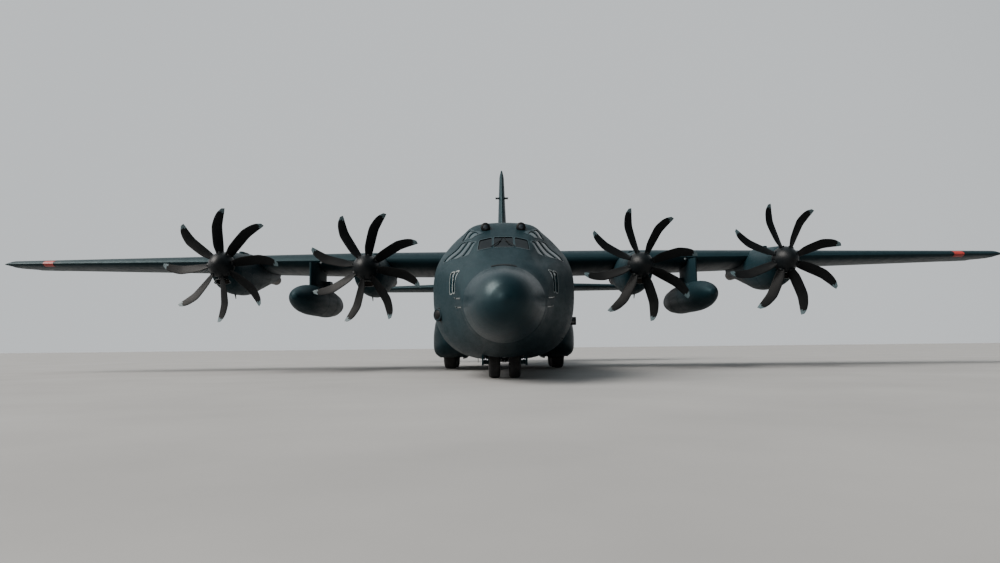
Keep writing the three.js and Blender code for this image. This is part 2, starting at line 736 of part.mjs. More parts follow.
// Floors and cockpit
const FLIGHT_DECK = { from: 1900, to: 5450, z: 2240, thick: 60 };
const SEAT = { x: 620, from: 3150, width: 520, depth: 520, seatTop: 2780, backTop: 3420, backThick: 120 };
const insideFitted = fuselageBody(insideFrom + TOUCH, AFT_JOINT, WALL + TOUCH);
const cargoFloor = insideFitted.intersect(
  box(-BEYOND, BEYOND, insideFrom, AFT_JOINT - TOUCH, HOLD_FLOOR - FLOOR_THICK, HOLD_FLOOR),
);
const panel = box(-1000, 1000, 2350, 2700, FLIGHT_DECK.z, 3150)
  .add(box(-1000, 1000, 2250, 2900, 3150, 3210))
  .add(box(-230, 230, 2600, 3700, FLIGHT_DECK.z, 2800));
let deck = box(-BEYOND, BEYOND, FLIGHT_DECK.from, FLIGHT_DECK.to, FLIGHT_DECK.z, FLIGHT_DECK.z + FLIGHT_DECK.thick);
deck = deck.add(panel).intersect(insideFitted);
[-1, 1].forEach((side) => {
  const [x0, x1] = [side * SEAT.x - SEAT.width / 2, side * SEAT.x + SEAT.width / 2];
  const back = SEAT.from + SEAT.depth;
  deck = deck.add(box(x0, x1, SEAT.from, back, FLIGHT_DECK.z, SEAT.seatTop));
  deck = deck.add(box(x0, x1, back - SEAT.backThick, back, SEAT.seatTop - 10, SEAT.backTop));
});

// Fairing where the wing crosses the fuselage
// Columns: station, half width, top
const WING_FAIRING = [
  [10150, 450, 4700],
  [10950, 950, 4780],
  [11850, 1250, 4870],
  [13950, 1250, 4900],
  [15950, 1050, 4830],
  [17850, 450, 4705],
];
const FAIRING_BASE = 4150;
const FAIRING_STEPS = 12;
const wingFairing = loft(
  WING_FAIRING.map(([station, halfWidth, top]) => {
    const ring = [];
    for (let i = 0; i <= FAIRING_STEPS; i++) {
      const angle = (Math.PI * i) / FAIRING_STEPS;
      ring.push([halfWidth * Math.cos(angle), station, FAIRING_BASE + (top - FAIRING_BASE) * Math.sin(angle)]);
    }
    return ring;
  }),
).subtract(outerGrown).subtract(wingGrown);

// Engines, from the left wing's outer one to the right wing's outer one
// Columns: distance left, height of the propeller's axis, turn of the propeller
const ENGINES = [
  [10160, 3910, 25.9],
  [4950, 3770, 30.5],
  [-4950, 3770, 14.5],
  [-10160, 3910, -4.5],
];
// Columns: station, half width, bottom, widest and top, each from the propeller's axis
const NACELLE = [
  [9590, 420, -430, 0, 420],
  [9710, 500, -700, -60, 500],
  [10150, 545, -900, -130, 560],
  [10750, 560, -965, -140, 620],
  [11550, 560, -950, -100, 690],
  [12150, 550, -880, -60, 750],
  [13050, 510, -640, 20, 700],
  [14050, 430, -370, 120, 560],
  [14950, 310, -150, 160, 480],
  [15550, 200, 20, 220, 420],
];
const NACELLE_AROUND = 16;
const ENGINE_BLOCK = { halfWidth: 345, from: 9850, to: 12550, bottom: -640, top: 160, shaftRadius: 110 };
const INTAKE = { halfWidth: 290, low: -655, high: -475, depth: 620 };
const EXHAUST = { from: 14450, to: 15600, z: 30, radius: 215, bore: 175, depth: 350 };
const SPINNER_BACK = 9568;
// Columns: station, radius
const SPINNER = [
  [8925, 0],
  [8950, 110],
  [9070, 285],
  [9280, 420],
  [9480, 468],
  [SPINNER_BACK, 462],
  [SPINNER_BACK, 0],
];
const BLADES = 8;
const BLADE_PLANE = 9400;
// Columns: radius, sweep towards the trailing side, chord, angle from the disc, half thickness
const BLADE = [
  [390, 0, 300, 52, 44],
  [760, -50, 380, 39, 28],
  [1350, -68, 368, 28, 16],
  [1700, 5, 325, 22, 12],
  [1930, 98, 245, 19, 9],
  [2055, 180, 120, 18, 5],
];
// Columns: share of the chord from the leading edge, share of the half thickness
const BLADE_OUTLINE = [
  [0, 0],
  [0.25, 1],
  [0.68, 0.75],
  [1, 0],
  [0.4, -0.5],
];

function nacelleBody(x, hub) {
  const rings = NACELLE.map(([station, halfWidth, bottom, widest, top]) => {
    const ring = [];
    for (let i = 0; i < NACELLE_AROUND; i++) {
      const angle = (2 * Math.PI * i) / NACELLE_AROUND;
      const up = -Math.cos(angle);
      const reach = up < 0 ? widest - bottom : top - widest;
      ring.push([x + halfWidth * Math.sin(angle), station, hub + widest + up * reach]);
    }
    return ring;
  });
  const exhaustAt = (station) => [x, station, hub + EXHAUST.z];
  const mouth = [x - INTAKE.halfWidth, x + INTAKE.halfWidth, NACELLE[0][0] - 200, NACELLE[0][0] + INTAKE.depth];
  return loft(rings)
    .add(rod(exhaustAt(EXHAUST.from), exhaustAt(EXHAUST.to), EXHAUST.radius, 16))
    .subtract(rod(exhaustAt(EXHAUST.to - EXHAUST.depth), exhaustAt(EXHAUST.to + 50), EXHAUST.bore, 16))
    .subtract(box(...mouth, hub + INTAKE.low, hub + INTAKE.high));
}

function engineBody(x, hub, grow) {
  const { halfWidth, from, to, bottom, top, shaftRadius } = ENGINE_BLOCK;
  const wide = halfWidth + grow;
  const block = box(x - wide, x + wide, from - grow, to + grow, hub + bottom - grow, hub + top + grow);
  const front = grow > 0 ? NACELLE[0][0] - 100 : SPINNER_BACK + TOUCH;
  return block.add(rod([x, front, hub], [x, from + 100, hub], shaftRadius + grow * 1.5, 16));
}

function bladeBody() {
  return loft(
    BLADE.map(([radius, sweep, chord, angle, half]) => {
      const pitch = THREE.MathUtils.degToRad(angle);
      return BLADE_OUTLINE.map(([share, thick]) => {
        const along = (share - 0.5) * chord;
        const off = -thick * half;
        const across = sweep + along * Math.cos(pitch) - off * Math.sin(pitch);
        return [across, BLADE_PLANE + along * Math.sin(pitch) + off * Math.cos(pitch), radius];
      });
    }),
  );
}

function turnedAboutHub(solid, degrees) {
  return solid.rotate([0, degrees, 0]);
}

function propellerBody(x, hub, phase) {
  const blade = bladeBody();
  let whole = turned(SPINNER, 0, 0, 14);
  for (let i = 0; i < BLADES; i++) {
    whole = whole.add(turnedAboutHub(blade, phase + (360 * i) / BLADES));
  }
  return whole.translate([x, 0, hub]);
}

// Tanks under the wings
const TANK = { x: 7490, z: 2750, sides: 16 };
const TANK_RADIUS = 580;
// Columns: station, radius
const TANK_PROFILE = [
  [9400, 0],
  [9460, 130],
  [9680, 270],
  [10150, 420],
  [10800, 530],
  [11650, TANK_RADIUS],
  [13750, TANK_RADIUS],
  [14700, 505],
  [15550, 355],
  [16200, 165],
  [16450, 55],
  [16480, 0],
];
// Columns: station, half width
const PYLON = [
  [11450, 15],
  [11750, 130],
  [12350, 180],
  [13050, 180],
  [13600, 95],
  [13900, 15],
];
const PYLON_BOX = { from: 12950, to: 13350, low: 3350, high: 3610, width: 225 };
const TANK_TOP_IN = 100;
const PYLON_TOP = 4250;

function tankBody(grow) {
  const rows = TANK_PROFILE.map(([s, r], i) => {
    const end = i === 0 ? -grow : i === TANK_PROFILE.length - 1 ? grow : 0;
    return [s + end, r === 0 ? 0 : r + grow];
  });
  return turned(rows, TANK.x, TANK.z, TANK.sides);
}

const pylonPlan = [
  ...PYLON.map(([s, half]) => [TANK.x + half, s]),
  ...PYLON.map(([s, half]) => [TANK.x - half, s]).reverse(),
];
const tank = tankBody(0);
const pylonInner = TANK.x - PYLON[3][1];
const pylon = planPlate(pylonPlan, TANK.z + TANK_RADIUS - TANK_TOP_IN, PYLON_TOP)
  .subtract(tankBody(TOUCH))
  .subtract(wingGrown)
  .add(box(pylonInner - PYLON_BOX.width, pylonInner + 40, PYLON_BOX.from, PYLON_BOX.to, PYLON_BOX.low, PYLON_BOX.high));

// Main gear: two wheels in line on each side, in a fairing on the fuselage
const MAIN_GEAR = { x: 2175, stations: [13310, 14830], radius: 710, width: 510, hubHalf: 160 };
// Columns: station, outer side, bottom, top
const GEAR_FAIRING = [
  [10250, 1830, 1180, 1480],
  [10650, 2330, 780, 1830],
  [11300, 2640, 545, 2050],
  [12200, 2760, 470, 2150],
  [15700, 2760, 470, 2150],
  [16700, 2600, 560, 2000],
  [17300, 2320, 800, 1720],
  [17650, 1880, 1150, 1450],
];
const GEAR_BAY = { inner: 1690, outer: 2480, from: 12550, to: 15590, top: 1560 };
const GEAR_DOOR = { x0: 1600, x1: 1640, from: 12650, to: 15490, low: 400 };
const STRUT = { x: 1780, radius: 75, low: 600, axleRadius: 70, linkLow: 820, linkHigh: 900, linkHalf: 40 };

function fairingRing([station, side, bottom, top]) {
  const height = top - bottom;
  const section = [
    [900, Math.max(bottom, 670)],
    [1500, bottom],
    [side - 260, bottom],
    [side - 70, bottom + 0.1 * height],
    [side, bottom + 0.28 * height],
    [side - 30, bottom + 0.68 * height],
    [side - 230, bottom + 0.92 * height],
    [1500, top],
  ];
  return section.map(([x, z]) => [Math.max(x, 900), station, z]);
}

const gearBay = box(GEAR_BAY.inner, GEAR_BAY.outer, GEAR_BAY.from, GEAR_BAY.to, 300, GEAR_BAY.top);
const gearFairing = loft(GEAR_FAIRING.map(fairingRing)).subtract(outerGrown).subtract(gearBay);
const gearDoor = box(GEAR_DOOR.x0, GEAR_DOOR.x1, GEAR_DOOR.from, GEAR_DOOR.to, GEAR_DOOR.low, 470 - TOUCH);
let mainStrut = box(
  STRUT.x - STRUT.linkHalf,
  STRUT.x + STRUT.linkHalf,
  ...MAIN_GEAR.stations,
  STRUT.linkLow,
  STRUT.linkHigh,
);
MAIN_GEAR.stations.forEach((s) => {
  const hubFace = MAIN_GEAR.x - MAIN_GEAR.hubHalf - TOUCH;
  mainStrut = mainStrut
    .add(rod([STRUT.x, s, STRUT.low], [STRUT.x, s, 1700], STRUT.radius, 12))
    .add(rod([STRUT.x, s, MAIN_GEAR.radius], [hubFace, s, MAIN_GEAR.radius], STRUT.axleRadius, 12));
});
mainStrut = mainStrut.subtract(outerGrown);

// A tyre on its wheel, turned about the axle
// Columns: share of the half width, share of the radius
const TYRE_PROFILE = [
  [0.9, 0.5],
  [1, 0.76],
  [0.5, 1],
];
const WHEEL_SIDES = 16;
const RIM_SHARE = 0.35;

function wheelBody(x, station, { radius, width, hubHalf }) {
  const half = width / 2;
  const outerSide = TYRE_PROFILE.map(([w, r]) => [w * half, r * radius]);
  const innerSide = outerSide.map(([w, r]) => [-w, r]).reverse();
  const rim = [hubHalf, RIM_SHARE * radius];
  const rows = [[hubHalf, 0], rim, ...outerSide, ...innerSide, [-rim[0], rim[1]], [-hubHalf, 0]];
  const profile = rows.map(([w, r]) => new THREE.Vector2(r, w)).reverse();
  const geometry = new THREE.LatheGeometry(profile, WHEEL_SIDES);
  geometry.rotateZ(Math.PI / 2);
  geometry.translate(x, station, radius);
  return solidOf(geometry);
}

// Nose gear: a fixed leg above, and below it a fork that steers, with two wheels on one axle
const NOSE_LEG = { radius: 85, split: 730, forkRadius: 62, axleRadius: 50, low: 430 };
const noseAt = (z) => [0, NOSE_GEAR.station, z];
const noseLeg = rod(noseAt(NOSE_LEG.split + TOUCH), noseAt(HOLD_FLOOR - FLOOR_THICK - TOUCH), NOSE_LEG.radius, 16);
const axleEnd = NOSE_GEAR.wheelX - NOSE_GEAR.hubHalf - TOUCH;
const noseAxle = [-axleEnd, axleEnd].map((x) => [x, NOSE_GEAR.station, NOSE_GEAR.radius]);
const noseFork = rod(noseAt(NOSE_LEG.low), noseAt(NOSE_LEG.split), NOSE_LEG.forkRadius, 16)
  .add(rod(noseAxle[0], noseAxle[1], NOSE_LEG.axleRadius, 12));
const NOSE_DOOR = { x0: 560, x1: 600, from: 2980, to: 3610, low: 380 };
const TAXI_LIGHTS = { inner: 430, from: 3490, low: 400, high: 600 };
const noseDoor = box(NOSE_DOOR.x0, NOSE_DOOR.x1, NOSE_DOOR.from, NOSE_DOOR.to, NOSE_DOOR.low, 1000)
  .add(box(TAXI_LIGHTS.inner, NOSE_DOOR.x1, TAXI_LIGHTS.from, NOSE_DOOR.to, TAXI_LIGHTS.low, TAXI_LIGHTS.high))
  .subtract(outerGrown);

// Tail
const DORSAL = { from: 20600, to: 24700, low: 4600, high: 6400, half: 85 };
// Columns: station, height
const DORSAL_LINE = [
  [24300, 6400],
  [24050, 5990],
  [23700, 5620],
  [23200, 5310],
  [22500, 5050],
  [21700, 4880],
];
const FIN_AERIAL = { half: 385, from: 25750, to: 26150, z: 9800, thick: 36 };
const dorsal = sidePlate(
  [
    [DORSAL.from, DORSAL.low],
    [DORSAL.to, DORSAL.low],
    [DORSAL.to, DORSAL.high],
    ...DORSAL_LINE,
    [DORSAL.from, DORSAL.low + 170],
  ],
  -DORSAL.half,
  DORSAL.half,
);
const aerial = box(
  -FIN_AERIAL.half,
  FIN_AERIAL.half,
  FIN_AERIAL.from,
  FIN_AERIAL.to,
  FIN_AERIAL.z,
  FIN_AERIAL.z + FIN_AERIAL.thick,
);
const finWhole = foilBody(FIN, { upright: true }).add(dorsal).add(aerial).subtract(outerGrown);
const [fin, rudder] = hang(finWhole, RUDDER);
const [stabiliser, elevator] = hang(foilBody(STABILISER).subtract(outerGrown), ELEVATOR);

// Assembly
const materials = {
  skin: new THREE.MeshStandardMaterial({ color: 0x3c4a52, roughness: 0.65, metalness: 0.1 }),
  dark: new THREE.MeshStandardMaterial({ color: 0x15181a, roughness: 0.7, metalness: 0.1 }),
  glass: new THREE.MeshStandardMaterial({ color: 0x1c2a33, roughness: 0.1, metalness: 0 }),
  floor: new THREE.MeshStandardMaterial({ color: 0x6a6f70, roughness: 0.7, metalness: 0.3 }),
};

const aircraft = new THREE.Group();
aircraft.scale.setScalar(MODEL_SCALE);
const airframe = new THREE.Group();
airframe.position.y = -LENGTH / 2;
aircraft.add(airframe);

function place(name, solid, material) {
  const mesh = new THREE.Mesh(geometryOf(solid), materials[material]);
  mesh.name = name;
  airframe.add(mesh);
}

place("radome", radome, "dark");
place("fuselage_forward", forwardFixed, "skin");
place("fuselage_centre", centreWithHinges, "skin");
place("fuselage_aft", aftFixed, "skin");
place("cockpit_glazing", glazing, "glass");
place("crew_door", crewDoor, "skin");
place("cargo_ramp", ramp, "skin");
place("aft_cargo_door", aftDoor, "skin");
place("paratroop_door_left", sideDoor, "skin");
place("paratroop_door_right", mirrored(sideDoor), "skin");
place("centre_wing", centreWing, "skin");
place("outer_wing_left", outerWing, "skin");
place("outer_wing_right", mirrored(outerWing), "skin");
place("flap_left", flap, "skin");
place("flap_right", mirrored(flap), "skin");
place("aileron_left", aileron, "skin");
place("aileron_right", mirrored(aileron), "skin");

place("cargo_floor", cargoFloor, "floor");
place("flight_deck", deck, "floor");
place("wing_fairing", wingFairing, "skin");
ENGINES.forEach(([x, hub, phase], i) => {
  const number = i + 1;
  const left = Math.abs(x);
  const nacelle = nacelleBody(left, hub).subtract(engineBody(left, hub, TOUCH)).subtract(wingGrown);
  place(`nacelle_${number}`, x > 0 ? nacelle : mirrored(nacelle), "skin");
  place(`engine_${number}`, engineBody(x, hub, 0), "floor");
  place(`propeller_${number}`, propellerBody(x, hub, phase), "dark");
});
const SIDES = [
  ["left", (solid) => solid],
  ["right", mirrored],
];
SIDES.forEach(([side, on]) => {
  place(`fuel_tank_${side}`, on(tank), "skin");
  place(`tank_pylon_${side}`, on(pylon), "skin");
  place(`gear_fairing_${side}`, on(gearFairing), "skin");
  place(`main_gear_door_${side}`, on(gearDoor), "skin");
  place(`main_gear_strut_${side}`, on(mainStrut), "floor");
  place(`nose_wheel_${side}`, on(wheelBody(NOSE_GEAR.wheelX, NOSE_GEAR.station, NOSE_GEAR)), "dark");
  place(`nose_gear_door_${side}`, on(noseDoor), "skin");
  place(`stabiliser_${side}`, on(stabiliser), "skin");
  place(`elevator_${side}`, on(elevator), "skin");
});
[1, -1].forEach((side, i) => {
  MAIN_GEAR.stations.forEach((station, j) => {
    place(`main_wheel_${2 * i + j + 1}`, wheelBody(side * MAIN_GEAR.x, station, MAIN_GEAR), "dark");
  });
});
place("nose_gear_leg", noseLeg, "floor");
place("nose_gear_fork", noseFork, "floor");
place("fin", fin, "skin");
place("rudder", rudder, "skin");

export default aircraft;
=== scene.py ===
import json
import math
from contextlib import contextmanager

import bmesh
import bpy
import numpy as np
from mathutils import Matrix, Vector


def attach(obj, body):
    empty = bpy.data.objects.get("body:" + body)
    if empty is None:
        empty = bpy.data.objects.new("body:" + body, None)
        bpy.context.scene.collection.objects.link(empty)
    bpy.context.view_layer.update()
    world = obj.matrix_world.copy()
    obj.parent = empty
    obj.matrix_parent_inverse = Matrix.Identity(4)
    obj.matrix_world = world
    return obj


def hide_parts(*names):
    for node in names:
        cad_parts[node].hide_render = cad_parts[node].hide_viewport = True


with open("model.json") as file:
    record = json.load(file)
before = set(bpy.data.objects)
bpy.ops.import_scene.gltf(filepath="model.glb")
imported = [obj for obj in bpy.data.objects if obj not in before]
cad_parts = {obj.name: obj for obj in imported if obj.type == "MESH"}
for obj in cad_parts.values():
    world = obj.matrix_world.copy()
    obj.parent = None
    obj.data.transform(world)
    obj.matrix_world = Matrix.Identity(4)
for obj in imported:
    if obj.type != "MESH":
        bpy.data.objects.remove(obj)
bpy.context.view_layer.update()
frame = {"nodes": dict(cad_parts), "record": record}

# A four-engine transport plane at 1:2. Sizes below are full-size millimetres, as in the part's source:
# x to the aircraft's left, s aft from the nose tip, z up from the ground. metres() takes them to the model.

LENGTH = 29790
FULL = 2000.0  # full-size millimetres in one metre of the model
SIDES = ((1, "left"), (-1, "right"))


scene = bpy.context.scene
record = frame["record"]
BODY_OF = {node: body for body, nodes in record["behaviour"]["bodies"].items() for node in nodes}
SLOT_OF = {part["node"]: part["material_slot"] for part in record["subparts"]}


def metres(p):
    return Vector((p[0] / FULL, (p[1] - LENGTH / 2) / FULL, p[2] / FULL))


def turns(count):
    """Angles spread evenly round a circle."""
    return [2 * math.pi * i / count for i in range(count)]


def placed(name, data):
    """A new object in the scene."""
    ob = bpy.data.objects.new(name, data)
    scene.collection.objects.link(ob)
    return ob


# Camera at the photograph's place

CAMERA = {"place": (-0.027, -15.09, 0.43), "pitch": 5.41, "yaw": 0.15, "roll": -0.6, "lens": 24.9}


def make_camera():
    data = bpy.data.cameras.new("camera")
    data.lens = CAMERA["lens"]
    data.sensor_width = 36
    data.clip_end = 500
    scene.camera = placed("camera", data)
    place = Matrix.Translation(CAMERA["place"])
    for angle, axis in ((CAMERA["yaw"], "Z"), (90 + CAMERA["pitch"], "X"), (CAMERA["roll"], "Z")):
        place = place @ Matrix.Rotation(math.radians(angle), 4, axis)
    scene.camera.matrix_world = place


make_camera()


# Materials

class Nodes:
    """A new material, or world, and short ways to make its nodes."""

    def __init__(self, name, kind="materials", coords="Object"):
        self.owner = getattr(bpy.data, kind).new(name)
        self.owner.use_nodes = True
        self.tree = self.owner.node_tree
        self.coords = self.node("TexCoord").outputs[coords]

    def fill(self, socket, value):
        """Links an input to an output or sets its value; colours have three numbers."""
        if isinstance(value, bpy.types.NodeSocket):
            self.tree.links.new(value, socket)
        else:
            socket.default_value = (*value, 1) if socket.type == "RGBA" else value

    def node(self, kind, *values, **named):
        """A node with its first inputs filled. A name with a capital is an input too, others are settings."""
        n = self.tree.nodes.new("ShaderNode" + kind)
        for key, value in named.items():
            if key[0].isupper():
                self.fill(n.inputs[key.replace("_", " ")], value)
            else:
                setattr(n, key, value)
        for socket, value in zip(n.inputs, values):
            self.fill(socket, value)
        return n

    def math(self, how, *values, clamp=False):
        return self.node("Math", *values, operation=how, use_clamp=clamp).outputs[0]

    def times(self, a, b, clamp=False):
        return self.math("MULTIPLY", a, b, clamp=clamp)

    def vector(self, how, a, b):
        return self.node("VectorMath", a, b, operation=how).outputs[0]

    def noise(self, scale, detail, vector=None):
        n = self.node("TexNoise", Vector=vector or self.coords, Scale=scale, Detail=detail, Roughness=0.55)
        return n.outputs["Fac"]

    def bricks(self, vector, width, height, line):
        """Panels in shades from black to white, and the seams between them."""
        n = self.node("TexBrick", Vector=vector, Color1=(0, 0, 0), Color2=(1, 1, 1), Mortar=(0.5, 0.5, 0.5),
                      Scale=1.0, Mortar_Size=line, Mortar_Smooth=0.1, Brick_Width=width, Row_Height=height)
        return n.outputs["Color"], n.outputs["Fac"]

    def span(self, value, low, high, to_low=0.0, to_high=1.0, **settings):
        return self.node("MapRange", value, low, high, to_low, to_high, **settings).outputs[0]

    def mix(self, share, a, b):
        n = self.node("Mix", share, data_type="RGBA")
        for socket, value in zip([s for s in n.inputs if s.type == "RGBA"], (a, b)):
            self.fill(socket, value)
        return [s for s in n.outputs if s.type == "RGBA"][0]

    def bump(self, height, strength, distance, **before):
        n = self.node("Bump", Strength=strength, Distance=distance, Height=height, **before)
        return n.outputs["Normal"]

    def finish(self, **inputs):
        """Fills the shader's inputs and gives the material."""
        for key, value in inputs.items():
            self.fill(self.tree.nodes["Principled BSDF"].inputs[key.replace("_", " ")], value)
        return self.owner


PAINT = (0.0034, 0.0120, 0.0160)
PAINT_LIGHT = (0.0065, 0.0185, 0.0235)
PAINT_DARK = (0.0018, 0.0070, 0.0100)
GRIME = (0.0020, 0.0025, 0.0030)
BARE = (0.16, 0.17, 0.17)
SHEEN = (0.55, 0.92, 1.0)
# In metres: the fuselage's middle above the ground and its radius
HULL_MIDDLE, HULL_RADIUS = 1.31, 1.08


def paint(name, kind, panel=(0.62, 0.34), soot=None):
    """Blue-grey aircraft paint: panels of slightly different tone, seams, streaks, stains and small chips."""
    n = Nodes(name)
    x, y, z = n.node("SeparateXYZ", n.coords).outputs
    if kind == "round":
        u, v = y, n.times(n.math("ARCTAN2", x, n.math("SUBTRACT", z, HULL_MIDDLE)), HULL_RADIUS)
    elif kind == "flat":
        u, v = x, y
    elif kind == "tall":
        u, v = y, z
    else:
        u, v = n.math("ADD", y, n.times(x, 0.5)), n.math("ADD", z, n.times(x, 0.7))
    flat = n.node("CombineXYZ", u, v, 0.0).outputs[0]
    tone, seam = n.bricks(flat, panel[0], panel[1], 0.0022)
    shifted = n.vector("ADD", flat, (0.13, 0.07, 0.0))
    seam_fine = n.bricks(shifted, panel[0] * 0.5, panel[1] * 0.5, 0.0012)[1]
    along = n.vector("MULTIPLY", n.coords, (5.0, 0.45, 5.0) if kind != "flat" else (6.0, 0.6, 6.0))
    streaks = n.noise(2.2, 6.0, along)
    clouds = n.noise(0.9, 5.0)
    fine = n.noise(34.0, 5.0)
    color = n.mix(n.span(clouds, 0.3, 0.7), PAINT_DARK, PAINT_LIGHT)
    color = n.mix(0.55, color, PAINT)
    # Darker streaks on the lowest parts, fading out between 0.25 m and 0.75 m above the floor
    belly = n.times(n.span(z, 0.75, 0.25), n.span(streaks, 0.35, 0.7), clamp=True)
    # Columns: where the layer lies, how strong it is, its colour
    for where, strength, layer in (
        (tone, 0.28, PAINT_LIGHT),
        (n.span(streaks, 0.5, 0.78), 0.42, PAINT_DARK),
        (n.span(fine, 0.55, 0.8), 0.2, PAINT_LIGHT),
        (seam, 0.62, GRIME),
        (seam_fine, 0.25, GRIME),
        (belly, 0.5, GRIME),
    ):
        color = n.mix(n.times(where, strength), color, layer)
    if soot:
        color = soot(n, color, x, y, streaks)
    chips = n.math("GREATER_THAN", n.noise(90.0, 2.0), 0.745)
    color = n.mix(n.times(chips, 0.35), color, BARE)
    rough = n.math("ADD", n.span(fine, 0.2, 0.8, 0.42, 0.56), n.times(n.span(streaks, 0.4, 0.8), 0.12))
    height = n.math("SUBTRACT", n.times(fine, 0.06), n.math("ADD", seam, n.times(seam_fine, 0.35)))
    normal = n.bump(n.noise(2.6, 2.0), 0.08, 0.02, Normal=n.bump(height, 0.35, 0.0016))
    return n.finish(Base_Color=color, Roughness=rough, Normal=normal, IOR=1.5, Specular_IOR_Level=0.16,
                    Specular_Tint=SHEEN)


def wing_soot(n, color, x, y, streaks):
    """Exhaust stains behind the engines, on wing and flaps."""
    for engine in (2.475, 5.08):
        off = n.math("ABSOLUTE", n.math("SUBTRACT", n.math("ABSOLUTE", x), engine))
        share = n.times(n.span(off, 0.32, 0.05), n.span(y, 0.1, 0.9), clamp=True)
        share = n.times(share, n.span(streaks, 0.25, 0.7), clamp=True)
        color = n.mix(n.times(share, 0.75), color, GRIME)
    return color


def nacelle_soot(n, color, x, y, streaks):
    share = n.times(n.span(y, -0.9, 0.5), n.span(streaks, 0.3, 0.65), clamp=True)
    return n.mix(n.times(share, 0.7), color, GRIME)


def simple(name, color, rough, vary, scale, bump=0.2, grain=0.001, **rest):
    """A finish with cloudy tone, fine grain and uneven gloss."""
    n = Nodes(name)
    cloud = n.noise(scale, 5.0)
    fine = n.noise(scale * 12, 3.0)
    low = tuple(c * (1 - vary) for c in color)
    high = tuple(min(1, c * (1 + vary)) for c in color)
    tone = n.mix(n.span(cloud, 0.3, 0.7), low, high)
    tone = n.mix(n.times(n.span(fine, 0.5, 0.8), 0.3), tone, low)
    gloss = n.span(fine, 0.2, 0.8, max(0.02, rough - 0.09), min(1, rough + 0.09))
    return n.finish(Base_Color=tone, Roughness=gloss, Normal=n.bump(fine, bump, grain), **rest)


def tyre_rubber():
    n = Nodes("tyre_rubber")
    fine = n.noise(60.0, 6.0)
    dust = n.noise(5.0, 5.0)
    color = n.mix(n.span(dust, 0.4, 0.75), (0.008, 0.008, 0.009), (0.035, 0.034, 0.032))
    rough = n.span(fine, 0.2, 0.8, 0.72, 0.95)
    return n.finish(Base_Color=color, Roughness=rough, Normal=n.bump(fine, 0.35, 0.0015))


def lamp_glass(name, color, glow):
    n = Nodes(name)
    cell = n.node("TexVoronoi", Vector=n.coords, Scale=160.0).outputs["Distance"]
    return n.finish(Base_Color=color, Roughness=0.08, Normal=n.bump(cell, 0.3, 0.001), Emission_Color=color,
                    Emission_Strength=glow)


def window_glass(name, low, high, gloss, clear):
    """Dark tinted glass with a little dirt. The front panes' copy is nearly black and barely reflective:
    painted shade on the windscreen.
    """
    n = Nodes(name)
    dirt = n.noise(7.0, 6.0)
    color = n.mix(n.span(dirt, 0.35, 0.75), low, high)
    rough = n.span(dirt, 0.45, 0.8, 0.02, 0.07)
    return n.finish(Base_Color=color, Roughness=rough, Transmission_Weight=clear, IOR=1.5,
                    Specular_IOR_Level=gloss)


# Plain finishes give colour, roughness, how far the tone varies and the size of its clouds
M = {
    "body": paint("paint_fuselage", "round"),
    "wing": paint("paint_wing", "flat", (0.85, 0.42), wing_soot),
    "tall": paint("paint_fin", "tall", (0.55, 0.36)),
    "nacelle": paint("paint_nacelle", "mixed", (0.5, 0.3), nacelle_soot),
    "part": paint("paint_parts", "mixed", (0.9, 0.5)),
    "tank": paint("paint_tank", "mixed", (0.95, 0.9)),
    "radome": simple("radome_skin", PAINT, 0.34, 0.12, 3.0, 0.03, Specular_IOR_Level=0.24,
                     Specular_Tint=(0.7, 0.94, 1.0)),
    "blade": simple("blade_black", (0.0030, 0.0036, 0.0040), 0.5, 0.3, 14.0, 0.12, Specular_IOR_Level=0.1),
    "tip": simple("blade_tip_grey", (0.045, 0.075, 0.085), 0.55, 0.15, 14.0),
    "spinner": simple("spinner_black", (0.0045, 0.006, 0.007), 0.38, 0.2, 8.0, 0.08, Specular_IOR_Level=0.14),
    "post": simple("window_frame", (0.008, 0.022, 0.028), 0.4, 0.2, 20.0, Specular_IOR_Level=0.3),
    "pale": simple("pale_frame", (0.17, 0.19, 0.19), 0.5, 0.15, 20.0),
    "inside": simple("liner_grey", (0.06, 0.07, 0.068), 0.65, 0.2, 5.0, 0.4, 0.002),
    "bay": simple("bay_grey", (0.045, 0.05, 0.05), 0.6, 0.35, 7.0, 0.3),
    "dark": simple("dark_fitting", (0.0035, 0.0040, 0.0045), 0.5, 0.3, 20.0, Specular_IOR_Level=0.1),
    "steel": simple("gear_steel", (0.30, 0.31, 0.31), 0.35, 0.2, 12.0, Metallic=0.9),
    "chrome": simple("oleo_chrome", (0.75, 0.76, 0.77), 0.09, 0.05, 12.0, 0.03, Metallic=1.0),
    "burnt": simple("exhaust_metal", (0.055, 0.045, 0.038), 0.55, 0.4, 7.0, Metallic=0.8),
    "hub": simple("wheel_hub", (0.20, 0.21, 0.21), 0.45, 0.3, 18.0),
    "red": simple("red_band", (0.26, 0.018, 0.014), 0.5, 0.2, 8.0),
    "seat": simple("seat_cloth", (0.05, 0.06, 0.045), 0.9, 0.3, 40.0, 0.5, 0.002),
    "pad": simple("seat_pad_sheepskin", (0.30, 0.27, 0.21), 0.95, 0.2, 60.0, 0.8, 0.004),
    "screen": simple("display_glass", (0.008, 0.014, 0.02), 0.12, 0.3, 6.0),
    "tyre": tyre_rubber(),
    "glass": window_glass("window_glass_side", (0.004, 0.018, 0.024), (0.008, 0.03, 0.038), 0.9, 0.15),
    # The front panes' glass: near-black colour and weak reflection, a painted shade standing in for the dark
    # windscreen
    "glass_front_painted_dark": window_glass("window_glass_front", (0.001, 0.002, 0.003),
                                (0.003, 0.005, 0.006), 0.1, 0.03),
    "lamp": lamp_glass("lamp_white", (0.95, 0.96, 1.0), 0.8),
    "lens": lamp_glass("lamp_unlit", (0.09, 0.11, 0.12), 0.0),
    "lamp_red": lamp_glass("lamp_red", (0.6, 0.02, 0.02), 0.3),
    "lamp_green": lamp_glass("lamp_green", (0.02, 0.45, 0.12), 0.3),
}


# Meshes

